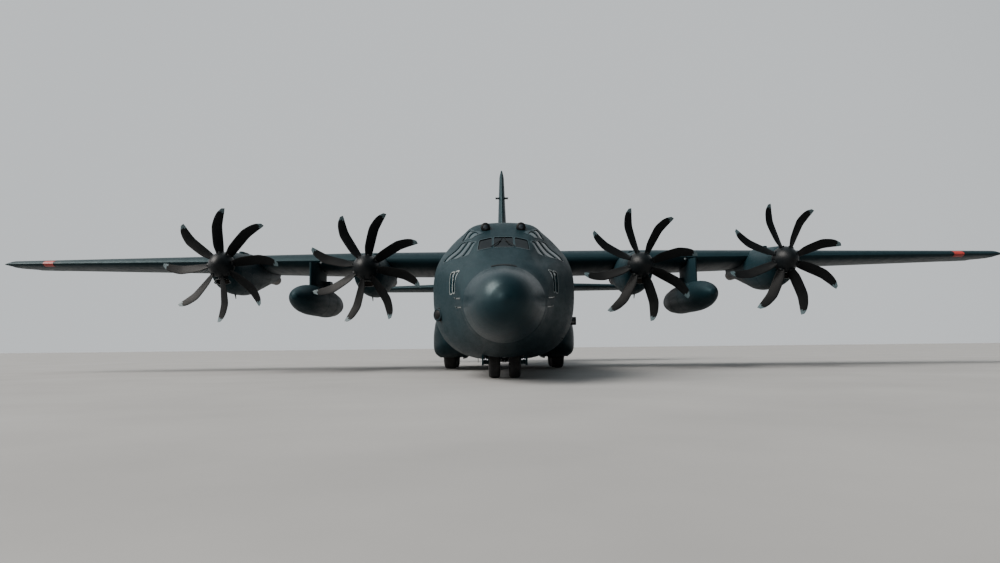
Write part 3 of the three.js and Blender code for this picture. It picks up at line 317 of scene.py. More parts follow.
@contextmanager
def editing(mesh):
    bm = bmesh.new()
    bm.from_mesh(mesh)
    yield bm
    bm.to_mesh(mesh)
    bm.free()


def blank(name, verts, faces, mats):
    """A piece from its points and faces; mats names its materials, with spaces between them."""
    mesh = bpy.data.meshes.new(name)
    mesh.from_pydata([metres(v) for v in verts], [], faces)
    for mat in mats.split():
        mesh.materials.append(M[mat])
    with editing(mesh) as bm:
        bmesh.ops.recalc_face_normals(bm, faces=bm.faces)
    return placed(name, mesh)


def soften(ob, angle):
    """Smooth shading, with every edge sharper than the angle kept sharp."""
    limit = math.radians(angle)
    with editing(ob.data) as bm:
        for face in bm.faces:
            face.smooth = True
        for edge in bm.edges:
            edge.smooth = len(edge.link_faces) == 2 and edge.calc_face_angle(math.pi) < limit


def loft(name, rings, mats, closed=True, caps=True, loop=False):
    """A skin over rings of points; with loop, the last ring is joined to the first."""
    count, total = len(rings[0]), len(rings)
    faces = []
    for r in range(total if loop else total - 1):
        here, ahead = r * count, (r + 1) % total * count
        for i in range(count if closed else count - 1):
            j = (i + 1) % count
            faces.append((here + i, here + j, ahead + j, ahead + i))
    if caps:
        faces.append(tuple(range(count)))
        faces.append(tuple(range((total - 1) * count, total * count)))
    return blank(name, [p for ring in rings for p in ring], faces, mats)


def lathe(name, rows, mats, centre=(0, 0, 0), axis="s", sides=48):
    """Rows of [distance along the axis, radius]; ends with radius 0 close on a point."""
    verts, faces, rings = [], [], []
    for along, radius in rows:
        ring = [(radius * math.cos(t), radius * math.sin(t)) for t in turns(sides if radius > 0 else 1)]
        rings.append(range(len(verts), len(verts) + len(ring)))
        for p, q in ring:
            at = {"s": (p, along, q), "x": (along, p, q), "z": (p, q, along)}[axis]
            verts.append(tuple(a + c for a, c in zip(at, centre)))
    for one, two in zip(rings, rings[1:]):
        for i in range(sides):
            j = (i + 1) % sides
            if len(one) == 1:
                faces.append((one[0], two[i], two[j]))
            elif len(two) == 1:
                faces.append((one[i], one[j], two[0]))
            else:
                faces.append((one[i], one[j], two[j], two[i]))
    faces += [tuple(ring) for ring in (rings[0], rings[-1]) if len(ring) > 1]
    return blank(name, verts, faces, mats)


def chunk(name, x0, x1, s0, s1, z0, z1, mats, bevel=8.0, steps=2):
    """A block with rounded edges."""
    corners = [(x, s, z) for x in (x0, x1) for s in (s0, s1) for z in (z0, z1)]
    faces = [(0, 1, 3, 2), (4, 6, 7, 5), (0, 4, 5, 1), (2, 3, 7, 6), (0, 2, 6, 4), (1, 5, 7, 3)]
    ob = blank(name, corners, faces, mats)
    if bevel:
        round_edges(ob, bevel, steps)
    return ob


def round_edges(ob, bevel, steps=2, angle=30):
    limit = math.radians(angle)
    with editing(ob.data) as bm:
        edges = [e for e in bm.edges if len(e.link_faces) == 2 and e.calc_face_angle(0) > limit]
        bmesh.ops.bevel(bm, geom=edges, offset=bevel / FULL, segments=steps, affect="EDGES", profile=0.5)
    return ob


def rod(name, path, radius, mats, sides=12):
    """A round bar or pipe along a path; radius is one number or one for each point."""
    points = [Vector(p) for p in path]
    radii = radius if isinstance(radius, list) else [radius] * len(points)
    rings = []
    side = None
    for i, p in enumerate(points):
        ahead = points[min(i + 1, len(points) - 1)] - points[max(i - 1, 0)]
        ahead.normalize()
        if side is None:
            side = ahead.cross(Vector((0, 0, 1)) if abs(ahead.z) < 0.9 else Vector((1, 0, 0)))
        side = (side - ahead * side.dot(ahead)).normalized()
        up = side.cross(ahead)
        rings.append([tuple(p + (side * math.cos(t) + up * math.sin(t)) * radii[i]) for t in turns(sides)])
    return loft(name, rings, mats)


def merged(name, parts):
    """One object from several, keeping each one's materials."""
    mats = []
    bm = bmesh.new()
    for ob in parts:
        index = []
        for mat in ob.data.materials:
            if mat not in mats:
                mats.append(mat)
            index.append(mats.index(mat))
        start = len(bm.faces)
        bm.from_mesh(ob.data)
        bm.faces.ensure_lookup_table()
        for face in bm.faces[start:]:
            face.material_index = index[face.material_index]
    mesh = bpy.data.meshes.new(name)
    bm.to_mesh(mesh)
    bm.free()
    for mat in mats:
        mesh.materials.append(mat)
    for ob in parts:
        bpy.data.objects.remove(ob)
    return placed(name, mesh)


def carve(ob, tool, how="DIFFERENCE"):
    """Cuts a piece with a tool, which goes."""
    mod = ob.modifiers.new("cut", "BOOLEAN")
    mod.operation = how
    mod.solver = "MANIFOLD"
    mod.object = tool
    mod.material_mode = "TRANSFER"
    bpy.context.view_layer.update()
    graph = bpy.context.evaluated_depsgraph_get()
    mesh = bpy.data.meshes.new_from_object(ob.evaluated_get(graph))
    ob.modifiers.clear()
    old = ob.data
    ob.data = mesh
    bpy.data.meshes.remove(old)
    if not len(mesh.polygons):
        raise RuntimeError(f"{ob.name} came out empty from a cut")
    bpy.data.objects.remove(tool)
    return ob


def mirror(ob, name):
    """The same piece on the other side."""
    mesh = ob.data.copy()
    mesh.transform(Matrix.Scale(-1, 4, (1, 0, 0)))
    mesh.flip_normals()
    return placed(name, mesh)


def show(ob, body="airframe", slot="grey_paint", replaces=None, smooth=35):
    if smooth is not None:
        soften(ob, smooth)
    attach(ob, body)
    if replaces:
        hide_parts(replaces)
    return ob


def both(ob, slot="grey_paint", smooth=35, replaces=""):
    """Shows a left piece named ..._left and its mirror image ..._right."""
    other = mirror(ob, ob.name.replace("_left", "_right"))
    show(ob, slot=slot, replaces=replaces, smooth=smooth)
    show(other, slot=slot, replaces=replaces.replace("_left", "_right"), smooth=smooth)


def relook(node, mat, smooth):
    """A smooth-shaded copy of a CAD node whose shape is right."""
    mesh = frame["nodes"][node].data.copy()
    mesh.materials.clear()
    mesh.materials.append(M[mat])
    with editing(mesh) as bm:
        for face in bm.faces:
            face.material_index = 0
        bmesh.ops.remove_doubles(bm, verts=bm.verts, dist=1e-5)
        bmesh.ops.dissolve_limit(bm, angle_limit=math.radians(0.6), verts=bm.verts, edges=bm.edges)
    return show(placed(node + "_skin", mesh), BODY_OF[node], SLOT_OF[node], node, smooth)


# The fuselage's shape
# Columns: station, half width, keel height, height of the widest point, crown height, share of the cockpit's
# shape, power of the lower half's curve, where 2 is an ellipse and more is fuller
FUSELAGE = np.array([
    [0, 110, 1820, 1930, 2040, 0, 2],
    [90, 330, 1600, 1930, 2265, 0, 2],
    [400, 610, 1320, 1925, 2540, 0, 2],
    [800, 800, 1130, 1920, 2690, 0, 2],
    [1400, 1000, 950, 1950, 2830, 0, 2],
    [1900, 1150, 810, 2300, 3080, 0.15, 2.1],
    [2500, 1330, 660, 2480, 3420, 0.85, 2.3],
    [3250, 1610, 560, 2520, 3900, 1, 2.6],
    [4100, 1890, 505, 2560, 4350, 0.9, 2.8],
    [5000, 2070, 490, 2590, 4530, 0.25, 2.8],
    [6220, 2160, 490, 2620, 4690, 0, 2.8],
    [9500, 2160, 490, 2620, 4690, 0, 2.5],
    [12000, 2160, 490, 2620, 4690, 0, 2],
    [18720, 2160, 490, 2620, 4690, 0, 2],
    [20300, 2140, 1030, 2840, 4705, 0, 2],
    [21900, 2050, 1700, 3120, 4720, 0, 2],
    [24500, 1530, 2750, 3700, 4730, 0, 2],
    [27000, 850, 3620, 4150, 4700, 0, 2],
    [28800, 400, 4020, 4310, 4630, 0, 2],
    [29640, 160, 4210, 4350, 4500, 0, 2],
    [29790, 40, 4310, 4350, 4390, 0, 2],
], float)
RADOME_JOINT = 1400
FORWARD_JOINT = 6220
NOSE_ROWS = 11  # the table's rows up to the forward joint
AROUND = 96


def slopes(xs, ys):
    """Slopes of a curve through the points that never overshoots them."""
    h, d = np.diff(xs), np.diff(ys) / np.diff(xs)
    out = np.zeros(len(xs))
    out[0], out[-1] = d[0], d[-1]
    for i in range(1, len(xs) - 1):
        if d[i - 1] * d[i] > 0:
            w1, w2 = 2 * h[i] + h[i - 1], h[i] + 2 * h[i - 1]
            out[i] = (w1 + w2) / (w1 / d[i - 1] + w2 / d[i])
    return out


def curve_table(table):
    """A smooth curve through each column of the table, over its first column."""
    xs = table[:, 0]
    columns = [(ys, slopes(xs, ys)) for ys in table.T[1:]]

    def at(x):
        x = min(max(x, xs[0]), xs[-1])
        i = min(len(xs) - 2, max(0, int(np.searchsorted(xs, x)) - 1))
        h = xs[i + 1] - xs[i]
        t = (x - xs[i]) / h
        a, b = (1 + 2 * t) * (1 - t) ** 2, t * (1 - t) ** 2
        c, d = t * t * (3 - 2 * t), t * t * (t - 1)
        return [a * ys[i] + b * h * m[i] + c * ys[i + 1] + d * h * m[i + 1] for ys, m in columns]

    return at


def line_table(table):
    """Straight lines between the table's rows."""
    return lambda x: [float(np.interp(x, table[:, 0], ys)) for ys in table.T[1:]]


nose_rows = curve_table(FUSELAGE[:NOSE_ROWS])
tail_rows = line_table(FUSELAGE)


def fuselage_at(station):
    return nose_rows(station) if station < FORWARD_JOINT else tail_rows(station)


# The cockpit's upper half has flatter sides and roof than an ellipse
# Columns: angle from the crown in degrees, share of the half width
cockpit_share = curve_table(np.array([
    [0, 0], [13, 0.4], [26, 0.53], [39, 0.6], [51, 0.7], [64, 0.9], [77, 0.98], [90, 1],
]))


def upper_share(angle, cockpit):
    if cockpit <= 0:
        return math.sin(angle)
    return (1 - cockpit) * math.sin(angle) + cockpit * cockpit_share(math.degrees(angle))[0]


def hull_point(row, angle, side, station, inset=0.0):
    """A point of the hull at an angle from the crown (up to 90 degrees) or beyond it towards the keel."""
    half, keel, widest, crown, cockpit, power = row
    if angle <= math.pi / 2:
        across, up, reach = upper_share(angle, cockpit), math.cos(angle), crown - inset - widest
    else:
        across = max(0.0, math.sin(angle)) ** (2 / power)
        up, reach = -((-math.cos(angle)) ** (2 / power)), widest - keel - inset
    return side * (half - inset) * across, station, widest + up * reach


def hull_ring(station, inset=0.0, floor=-math.inf, around=AROUND):
    row = fuselage_at(station)
    ring = []
    for t in turns(around):
        x, s, z = hull_point(row, abs(math.pi - t), 1 if t <= math.pi else -1, station, inset)
        ring.append((x, s, max(z, floor)))
    return ring


def hull_stations(start, end, step):
    """Stations no further apart than a step, with the table's own among them."""
    marks = [start, *(float(s) for s in FUSELAGE[:, 0] if start < s < end), end]
    out = []
    for a, b in zip(marks, marks[1:]):
        n = max(1, int(math.ceil((b - a) / step)))
        out += [a + (b - a) * i / n for i in range(n)]
    return [*out, end]


def hull(name, start, end, mats, step=110.0, inset=0.0, floor=-math.inf):
    return loft(name, [hull_ring(s, inset, floor) for s in hull_stations(start, end, step)], mats)


def skin_x(station, z):
    half, keel, widest, crown, cockpit, power = fuselage_at(station)
    if z > widest:
        return half * upper_share(math.acos(min(1.0, (z - widest) / (crown - widest))), cockpit)
    return half * max(0.0, 1 - ((widest - z) / (widest - keel)) ** power) ** (1 / power)


def crown_angle(row, x, high, rounds):
    """The angle from the crown where the upper half is x away from the middle, found by halving."""
    low = 0.0
    for _ in range(rounds):
        mid = (low + high) / 2
        low, high = (mid, high) if row[0] * upper_share(mid, row[4]) < abs(x) else (low, mid)
    return low


def skin_z(station, x, top=True):
    row = half, keel, widest, crown, _, power = fuselage_at(station)
    if not top:
        return widest - max(0.0, 1 - (abs(x) / half) ** power) ** (1 / power) * (widest - keel)
    return widest + math.cos(crown_angle(row, x, math.pi / 2, 24)) * (crown - widest)


def skin_normals(ob, limit=0.86):
    """Gives faces that lie on the hull its exact smooth normals, whatever their cuts."""
    mesh = ob.data
    for poly in mesh.polygons:
        poly.use_smooth = True
    out = []
    for poly in mesh.polygons:
        flat = poly.normal.copy()
        for index in poly.vertices:
            co = mesh.vertices[index].co
            normal = hull_normal(co.x * FULL, co.y * FULL + LENGTH / 2, co.z * FULL)
            out.append(tuple(normal if normal.dot(flat) > limit else flat))
    mesh.normals_split_custom_set(out)


# The steps that a normal is measured over: radians round the hull, millimetres along it
TURN_STEP, STATION_STEP = 0.012, 12.0


def hull_normal(x, s, z):
    row = half, keel, widest, crown, _, power = fuselage_at(s)
    if z < widest:
        rise = ((widest - z) / (widest - keel)) ** (power / 2)
        angle = math.pi - math.atan2((abs(x) / half) ** (power / 2), rise)
    else:
        t = min(1.0, (z - widest) / (crown - widest))
        angle = crown_angle(row, x, 0.6, 18) if t > 0.9 else math.acos(t)
    side = 1 if x >= 0 else -1

    def at(rows, turn, station):
        return Vector(hull_point(rows, turn, side, station))

    before, after = max(0.0, s - STATION_STEP), min(LENGTH, s + STATION_STEP)
    across = at(row, min(math.pi, angle + TURN_STEP), s) - at(row, max(0.0, angle - TURN_STEP), s)
    along = at(fuselage_at(after), angle, after) - at(fuselage_at(before), angle, before)
    v = across.cross(along) * side
    if v.length < 1e-9:
        return Vector((0, -1, 0)) if s < 1000 else Vector((0, 0, 1))
    v.normalize()
    out = Vector((x, 0, z - widest))
    return v if v.dot(out) > 0 or out.length < 1 else -v


# Cockpit windows
# Columns: four corners as [station, height], from the front low one round
SIDE_PANES = [
    [[2790, 3290], [3050, 3255], [3090, 3680], [2960, 3640]],
    [[3120, 3250], [3420, 3230], [3450, 3740], [3160, 3700]],
    [[3490, 3220], [3800, 3200], [3810, 3740], [3520, 3750]],
    [[2260, 2250], [2460, 2250], [2460, 2800], [2260, 2800]],
    [[2520, 2250], [2740, 2250], [2740, 2800], [2520, 2800]],
]
ROOF_PANES = [
    [[3300, 3800], [3560, 3850], [3590, 4040], [3360, 3930]],
    [[3620, 3850], [3900, 3800], [3920, 4130], [3650, 4060]],
]
# Columns: distance out and height of the four corners, seen from the front
FRONT_PANES = [
    [[-255, 3450], [255, 3450], [250, 3800], [-250, 3800]],
    [[310, 3445], [680, 3370], [640, 3700], [305, 3790]],
]
# How far the cutters reach: from station to station, and out of and into the skin
FRONT_DEPTH = [2350, 3400]
SIDE_DEPTH = [260, -90]


def rounded(corners, radius, grow=0.0, steps=4):
    """The outline with round corners, grown outwards from its middle."""
    def corner_by_corner(pts):
        return zip(pts[-1:] + pts[:-1], pts, pts[1:] + pts[:1])

    pts = [np.array(c, float) for c in corners]
    area = sum(p[0] * q[1] - q[0] * p[1] for _, p, q in corner_by_corner(pts))
    if grow:
        way = 1 if area > 0 else -1
        moved = []
        for a, b, c in corner_by_corner(pts):
            u, v = (b - a) / np.linalg.norm(b - a), (c - b) / np.linalg.norm(c - b)
            nu, nv = way * np.array([u[1], -u[0]]), way * np.array([v[1], -v[0]])
            moved.append(b + (nu + nv) * grow / (1 + float(nu @ nv)))
        pts = moved
    out = []
    for a, b, c in corner_by_corner(pts):
        u, v = (a - b) / np.linalg.norm(a - b), (c - b) / np.linalg.norm(c - b)
        r = min(radius, 0.4 * np.linalg.norm(a - b), 0.4 * np.linalg.norm(c - b))
        for k in range(steps + 1):
            t = k / steps
            out.append(tuple(b + u * r * (1 - t) ** 2 + v * r * t ** 2))
    return out


def side_cutter(corners, grow):
    pts = [Vector((skin_x(s, z), s, z)) for s, z in rounded(corners, 55 + grow, grow)]
    corner = [Vector((skin_x(s, z), s, z)) for s, z in corners]
    normal = (corner[2] - corner[0]).cross(corner[3] - corner[1]).normalized()
    if normal.x < 0:
        normal.negate()
    return loft("pane", [[tuple(p + normal * out) for p in pts] for out in SIDE_DEPTH], "post")


def front_cutter(corners, grow):
    outline = rounded(corners, 45 + grow, grow)
    return loft("pane", [[(x, s, z) for x, z in outline] for s in FRONT_DEPTH], "post")


def cutters(panes, front, grow=0):
    """Blocks in the shape of side panes, on both sides, and of the front ones."""
    out = []
    for corners in panes:
        one = side_cutter(corners, grow)
        out += [one, mirror(one, "pane")]
    if front:
        side = front_cutter(FRONT_PANES[1], grow)
        out += [side, mirror(side, "pane"), front_cutter(FRONT_PANES[0], grow)]
    return out


def band(name, start, end, outer, inner, mats, step=50.0):
    """A closed ring of the hull's shape between two insets."""
    stations = hull_stations(start, end, step)
    rings = [hull_ring(s, outer, around=AROUND * 2) for s in stations]
    rings += [hull_ring(s, inner, around=AROUND * 2) for s in reversed(stations)]
    return loft(name, rings, mats, caps=False, loop=True)


# Nose, with the cockpit's window openings, the nose wheel's bay and the crew door's opening
NOSE_STATION = 4300
CREW_DOOR = {"from": 4230, "to": 5010, "low": 1095, "high": 2225}
# The opening is larger than the door by this much all round, and lower at its sill
CLEAR = 12
SILL = 16


def crew_zone(margin, below=0):
    low, high = CREW_DOOR["low"], CREW_DOOR["high"]
    ends = [Vector((cad_skin_x(s, low), s, 0)) for s in (CREW_DOOR["from"], CREW_DOOR["to"])]
    rise = (ends[1] - ends[0]).normalized()
    out = Vector((rise.y, -rise.x, 0))
    first, last = ends[0] - rise * margin, ends[1] + rise * margin
    plan = [first + out * 1200, last + out * 1200, last - out * 700, first - out * 700]
    return loft("zone", [[(p.x, p.y, z) for p in plan] for z in (low - margin - below, high + margin)], "bay")


def cad_skin_x(station, z):
    half, keel, widest, _, _, power = tail_rows(station)
    return half * (1 - ((widest - z) / (widest - keel)) ** power) ** (1 / power)


def build_nose():
    outer = hull("fuselage_nose", RADOME_JOINT + 3, FORWARD_JOINT - 2, "body", 75.0)
    carve(outer, hull("inner", RADOME_JOINT + 150, FORWARD_JOINT + 50, "inside", inset=110, floor=1019))
    carve(outer, lathe("bay", [[200, 700], [1000, 700]], "bay", (0, NOSE_STATION, 0), "z"))
    carve(outer, chunk("bay", -520, 520, 2950, NOSE_STATION, 200, 1000, "bay", bevel=0))
    door = placed("crew_door_skin", outer.data.copy())
    carve(outer, crew_zone(CLEAR, SILL))
    carve(door, crew_zone(0), "INTERSECT")
    for cutter in cutters([*SIDE_PANES, *ROOF_PANES], True):
        carve(outer, cutter)
    skin_normals(outer)
    show(outer, replaces="fuselage_forward", smooth=None)
    skin_normals(door)
    show(door, "crew_door", replaces="crew_door", smooth=None)


def frame_band(name, panes, front, grow, proud, mat):
    """Frames that stand a little proud of the skin around a set of windows."""
    frames = band(name, 2120, 4250, -proud, 40, mat)
    keep, *others = cutters(panes, front, grow)
    for other in others:
        carve(keep, other, "UNION")
    carve(frames, keep, "INTERSECT")
    for cutter in cutters(panes, front):
        carve(frames, cutter)
    skin_normals(frames, 0.8)
    show(frames, smooth=None)


# The front glass is the copy painted near-black as shade
FRONT_GLASS = 0.36  # panes nearer the middle than this, in metres, have the front glass


def build_windows():
    glass = band("cockpit_glass", 2150, 4150, 16, 44, "glass")
    carve(glass, chunk("zone", -3000, 3000, 2100, 4200, 2150, 4280, "glass", bevel=0), "INTERSECT")
    skin_normals(glass)
    # The middle panes get the glass painted near-black as shade
    glass.data.materials.append(M["glass_front_painted_dark"])
    front = len(glass.data.materials) - 1
    for poly in glass.data.polygons:
        if abs(poly.center.x) < FRONT_GLASS:
            poly.material_index = front
    show(glass, slot="glass", replaces="cockpit_glazing", smooth=None)
    frame_band("upper_window_frames", [*SIDE_PANES[:3], *ROOF_PANES], True, 20, 6, "post")
    frame_band("lower_window_frames", SIDE_PANES[3:], False, 24, 8, "pale")


# Cockpit
SEAT = {"x": 620, "from": 3150, "depth": 520, "top": 2780, "back": 3420}
PANEL_BACK = 2700


def seat(side, word):
    x, s, z, top = side * SEAT["x"], SEAT["from"], SEAT["top"], SEAT["back"]
    back = s + SEAT["depth"] - 120
    # Columns: half width, stations, heights, material, rounding
    cushions = [
        (235, s + 10, back, z, z + 95, "seat", 30),
        (190, s + 25, back - 60, z + 85, z + 125, "pad", 18),
        (225, back - 70, back, z + 60, top - 20, "seat", 26),
        (180, back - 100, back - 62, z + 110, top - 60, "pad", 16),
        (120, back - 40, back + 60, top + 30, top + 190, "seat", 24),
    ]
    parts = [chunk("cushion", x - half, x + half, *rest, 3) for half, *rest in cushions]
    for bar in (x - 60, x + 60):
        parts.append(rod("head_bar", [(bar, back + 30, top - 60), (bar, back + 30, top + 60)], 9, "steel"))
    for arm in (x - 275, x + 275):
        parts.append(chunk("rest", arm - 32, arm + 32, s + 60, back + 20, z + 210, z + 260, "dark", 16, 3))
        parts.append(rod("arm_post", [(arm, back - 20, z + 20), (arm, back - 20, z + 215)], 14, "steel"))
    for belt in (x - 75, x + 75):
        parts.append(chunk("belt", belt - 24, belt + 24, back - 106, back - 98, z + 120, top - 30, "dark", 2))
    show(merged(f"seat_{word}", parts), smooth=40)


def yoke(side, word):
    x = side * SEAT["x"]
    angles = np.linspace(0.9, 2 * math.pi - 0.9, 22)
    rim = [(x + 190 * math.sin(a), 2860, 3020 + 120 * math.cos(a)) for a in angles]
    parts = [
        rod("column", [(x, 2990, 2305), (x, 2960, 2700), (x, 2880, 2960)], [34, 30, 26], "dark", 14),
        rod("rim", rim, 17, "dark"),
        rod("bar", [(x - 150, 2860, 2960), (x, 2868, 2985), (x + 150, 2860, 2960)], 15, "dark", 10),
        chunk("boss", x - 52, x + 52, 2838, 2890, 2930, 3030, "dark", 14, 3),
    ]
    show(merged(f"yoke_{word}", parts), smooth=40)


def panel():
    s = PANEL_BACK
    parts = []
    for x in (-780, -480, -150, 150, 480, 780):
        parts.append(chunk("bezel", x - 135, x + 135, s - 4, s + 16, 2830, 3110, "dark"))
        parts.append(chunk("display", x - 112, x + 112, s + 14, s + 19, 2855, 3085, "screen", 2))
    for x in range(-650, 750, 100):
        parts.append(lathe("knob", [[0, 14], [26, 12], [28, 0]], "steel", (x, s, 2780), "s", 12))
    parts.append(chunk("shade", -880, 880, 2640, 2860, 3206, 3232, "dark", 12, 3))
    for x in (-105, -35, 35, 105):
        parts.append(rod("lever", [(x, 2860, 2790), (x, 2840, 2930)], 9, "steel"))
        parts.append(chunk("grip", x - 17, x + 17, 2825, 2860, 2915, 2960, "dark"))
    for x in (-200, -60, 80):
        for j in range(6):
            row = 2960 + 115 * j
            parts.append(chunk("console_unit", x, x + 120, row, row + 100, 2796, 2812, "screen", 4))
    show(merged("instrument_panel", parts))


build_nose()
build_windows()
relook("flight_deck", "inside", 30)
for side, word in SIDES:
    seat(side, word)
    yoke(side, word)
panel()
radome = hull("radome_skin", 0.0, RADOME_JOINT, "radome", 25.0)
skin_normals(radome, 0.5)
show(radome, replaces="radome", smooth=None)
for node in ("fuselage_centre", "fuselage_aft", "cargo_ramp", "aft_cargo_door", "paratroop_door_left",
             "paratroop_door_right"):
    skin_normals(relook(node, "body", None))


# Engines
# Columns: distance left, height of the propeller's axis, turn of the propeller
ENGINES = [(10160, 3910, 25.9), (4950, 3770, 30.5), (-4950, 3770, 14.5), (-10160, 3910, -4.5)]
# Columns: station, half width, bottom, widest and top, each from the propeller's axis
NACELLE = np.array([
    [9590, 420, -430, 0, 420],
    [9710, 500, -700, -60, 500],
    [10150, 545, -900, -130, 560],
    [10750, 560, -965, -140, 620],
    [11550, 560, -950, -100, 690],
    [12150, 550, -880, -60, 750],
    [13050, 510, -640, 20, 700],
    [14050, 430, -370, 120, 560],
    [14950, 310, -150, 160, 480],
    [15550, 200, 20, 220, 420],
], float)
SPINNER = [[8925, 0], [8932, 52], [8950, 110], [9000, 200], [9070, 285], [9170, 362], [9280, 420],
           [9390, 452], [9480, 468], [9540, 468], [9568, 462], [9568, 0]]
BLADE_PLANE = 9400
BLADES = 8
# Columns: radius, sweep towards the trailing side, chord, angle from the disc, half thickness
BLADE = np.array([
    [390, 0, 300, 52, 44],
    [760, -50, 380, 39, 28],
    [1350, -68, 368, 28, 16],
    [1700, 5, 325, 22, 12],
    [1930, 98, 245, 19, 9],
    [2055, 180, 120, 18, 5],
], float)
TIP_FROM = 1920
EXHAUST = {"from": 14450, "to": 15600, "z": 30, "radius": 215, "bore": 182}
nacelle_rows = curve_table(NACELLE)
blade_rows = curve_table(BLADE)


def nacelle_ring(station, x, hub, grow=0.0):
    half, bottom, widest, top = nacelle_rows(station)
    ring = []
    for t in turns(72):
        up = -math.cos(t)
        reach = widest - bottom if up < 0 else top - widest
        ring.append((x + (half + grow) * math.sin(t), station, hub + widest + up * (reach + grow)))
    return ring


# The intake's kidney-shaped mouth, as offsets from the propeller's axis
MOUTH = [(-290, -640), (-200, -675), (0, -690), (200, -675), (290, -640), (250, -530), (120, -492), (0, -484),
         (-120, -492), (-250, -530)]
# Columns: station, half width, height, bottom over the propeller's axis
SCOOP = [(11300, 95, 88, 655), (11500, 110, 105, 640), (11900, 90, 70, 690), (12350, 30, 6, 700)]


def nacelle(number, x, hub):
    first, last = NACELLE[0, 0], NACELLE[-1, 0]

    def ring(station, grow=0.0):
        return nacelle_ring(station, x, hub, grow)

    def mouth_ring(station, grow):
        return [(x + a, station, hub + b) for a, b in rounded(MOUTH, 60, grow, 3)]

    stations = [first + (last - first) * (i / 46) ** 1.25 for i in range(47)]
    rings = [ring(first - 22, -26), ring(first - 26, -14), *(ring(s) for s in stations)]
    body = loft(f"nacelle_skin_{number}", rings, "nacelle")
    start, end, wide, bore = (EXHAUST[k] for k in ("from", "to", "radius", "bore"))
    axis = (x, 0, hub + EXHAUST["z"])
    carve(body, lathe("pipe", [[start, wide], [end - 30, wide], [end, wide - 14]], "burnt", axis), "UNION")
    carve(body, lathe("bore", [[end - 420, bore], [end + 60, bore]], "burnt", axis))
    mouth = [mouth_ring(first + back, grow) for back, grow in ((-60, 6), (40, -4), (620, -50))]
    carve(body, loft("mouth", mouth, "dark"))
    carve(body, lathe("ring", [[first - 60, 400], [first + 34, 394]], "dark", (x, 0, hub), "s", 64))
    show(body, replaces=f"nacelle_{number}", smooth=38)
    lips = [mouth_ring(first - 18 + back, grow) for back, grow in
            ((44, 8), (10, 17), (-8, 11), (-6, 3), (12, -4), (44, -7))]
    show(loft(f"intake_lip_{number}", lips + [lips[0]], "steel", caps=False), smooth=60)
    mast = [(x, 10800, hub - 955), (x, 10850, hub - 1010), (x, 10900, hub - 1125)]
    show(rod(f"drain_mast_{number}", mast, [30, 24, 14], "dark"))
    # Cowling seams stand as narrow strips
    for k, station in enumerate((9960, 11050, 12250, 13400)):
        rings = [ring(station + back, grow) for back, grow in ((0, 0), (4, 3.5), (24, 3.5), (28, 0))]
        show(loft(f"cowl_band_{number}_{k}", rings, "nacelle", caps=False), smooth=30)
    scoop = [[(x + wide * share, s, hub + low + high * rise) for share, rise in
              ((-1, 0), (-0.75, 1), (-0.3, 1.12), (0.3, 1.12), (0.75, 1), (1, 0))]
             for s, wide, high, low in SCOOP]
    show(round_edges(loft(f"cowl_scoop_{number}", scoop, "nacelle"), 10, 2, 40))


def blade_mesh():
    """The rings of one blade that points up from the origin, and those of its shank."""
    first, last, count = BLADE[0, 0], BLADE[-1, 0], 20
    rings = []
    for radius in [first + (last - first) * (i / 30) for i in range(31)]:
        sweep, chord, angle, half = blade_rows(radius)
        pitch = math.radians(angle)
        ring = []
        for t in turns(count):
            share = 0.5 - 0.5 * math.cos(t)
            bow = abs(math.sin(t)) ** 0.9 * (1.25 - 0.5 * share)
            off = -(half * bow if math.sin(t) >= 0 else -0.5 * half * bow)
            along = (share - 0.5) * chord
            ring.append((sweep + along * math.cos(pitch) - off * math.sin(pitch),
                         along * math.sin(pitch) + off * math.cos(pitch), radius))
        rings.append(ring)
    shank = [[(size * math.cos(t), size * math.sin(t), radius) for t in turns(count)]
             for radius, size in ((300, 74), (360, 74), (420, 66))]
    return rings, shank


def propeller(number, x, hub, phase):
    rings, shank = blade_mesh()
    parts = []
    centre = metres((x, BLADE_PLANE, hub))
    for i in range(BLADES):
        turn = math.radians(phase + 360 * i / BLADES)

        def turned(rings):
            return [[(x + p[0] * math.cos(turn) + p[2] * math.sin(turn), BLADE_PLANE + p[1],
                      hub + p[2] * math.cos(turn) - p[0] * math.sin(turn)) for p in ring] for ring in rings]

        blade = loft("blade", turned(rings), "blade tip")
        for poly in blade.data.polygons:
            away = poly.center - centre
            if math.hypot(away.x, away.z) > TIP_FROM / FULL:
                poly.material_index = 1
        cuff = lathe("cuff", [[392, 108], [470, 100], [478, 84]], "spinner", (0, 0, 0), "z", 24)
        cuff.data.transform(Matrix.Rotation(turn, 4, "Y"))
        cuff.data.transform(Matrix.Translation(centre - metres((0, 0, 0))))
        parts += [blade, loft("shank", turned(shank), "dark"), cuff]
    parts.append(lathe("spinner", SPINNER, "spinner", (x, 0, hub), "s", 72))
    node = f"propeller_{number}"
    show(merged(f"propeller_look_{number}", parts), node, "propeller_black", node, 42)


for count, (ex, ehub, ephase) in enumerate(ENGINES, 1):
    nacelle(count, ex, ehub)
    propeller(count, ex, ehub, ephase)
    relook(f"engine_{count}", "burnt", 30)


# Tanks under the wings
TANK_X, TANK_Z = 7490, 2750
TANK_PROFILE = np.array([
    [9400, 0], [9460, 130], [9680, 270], [10150, 420], [10800, 530], [11650, 580], [13750, 580], [14700, 505],
    [15550, 355], [16200, 165], [16450, 55], [16480, 0],
], float)


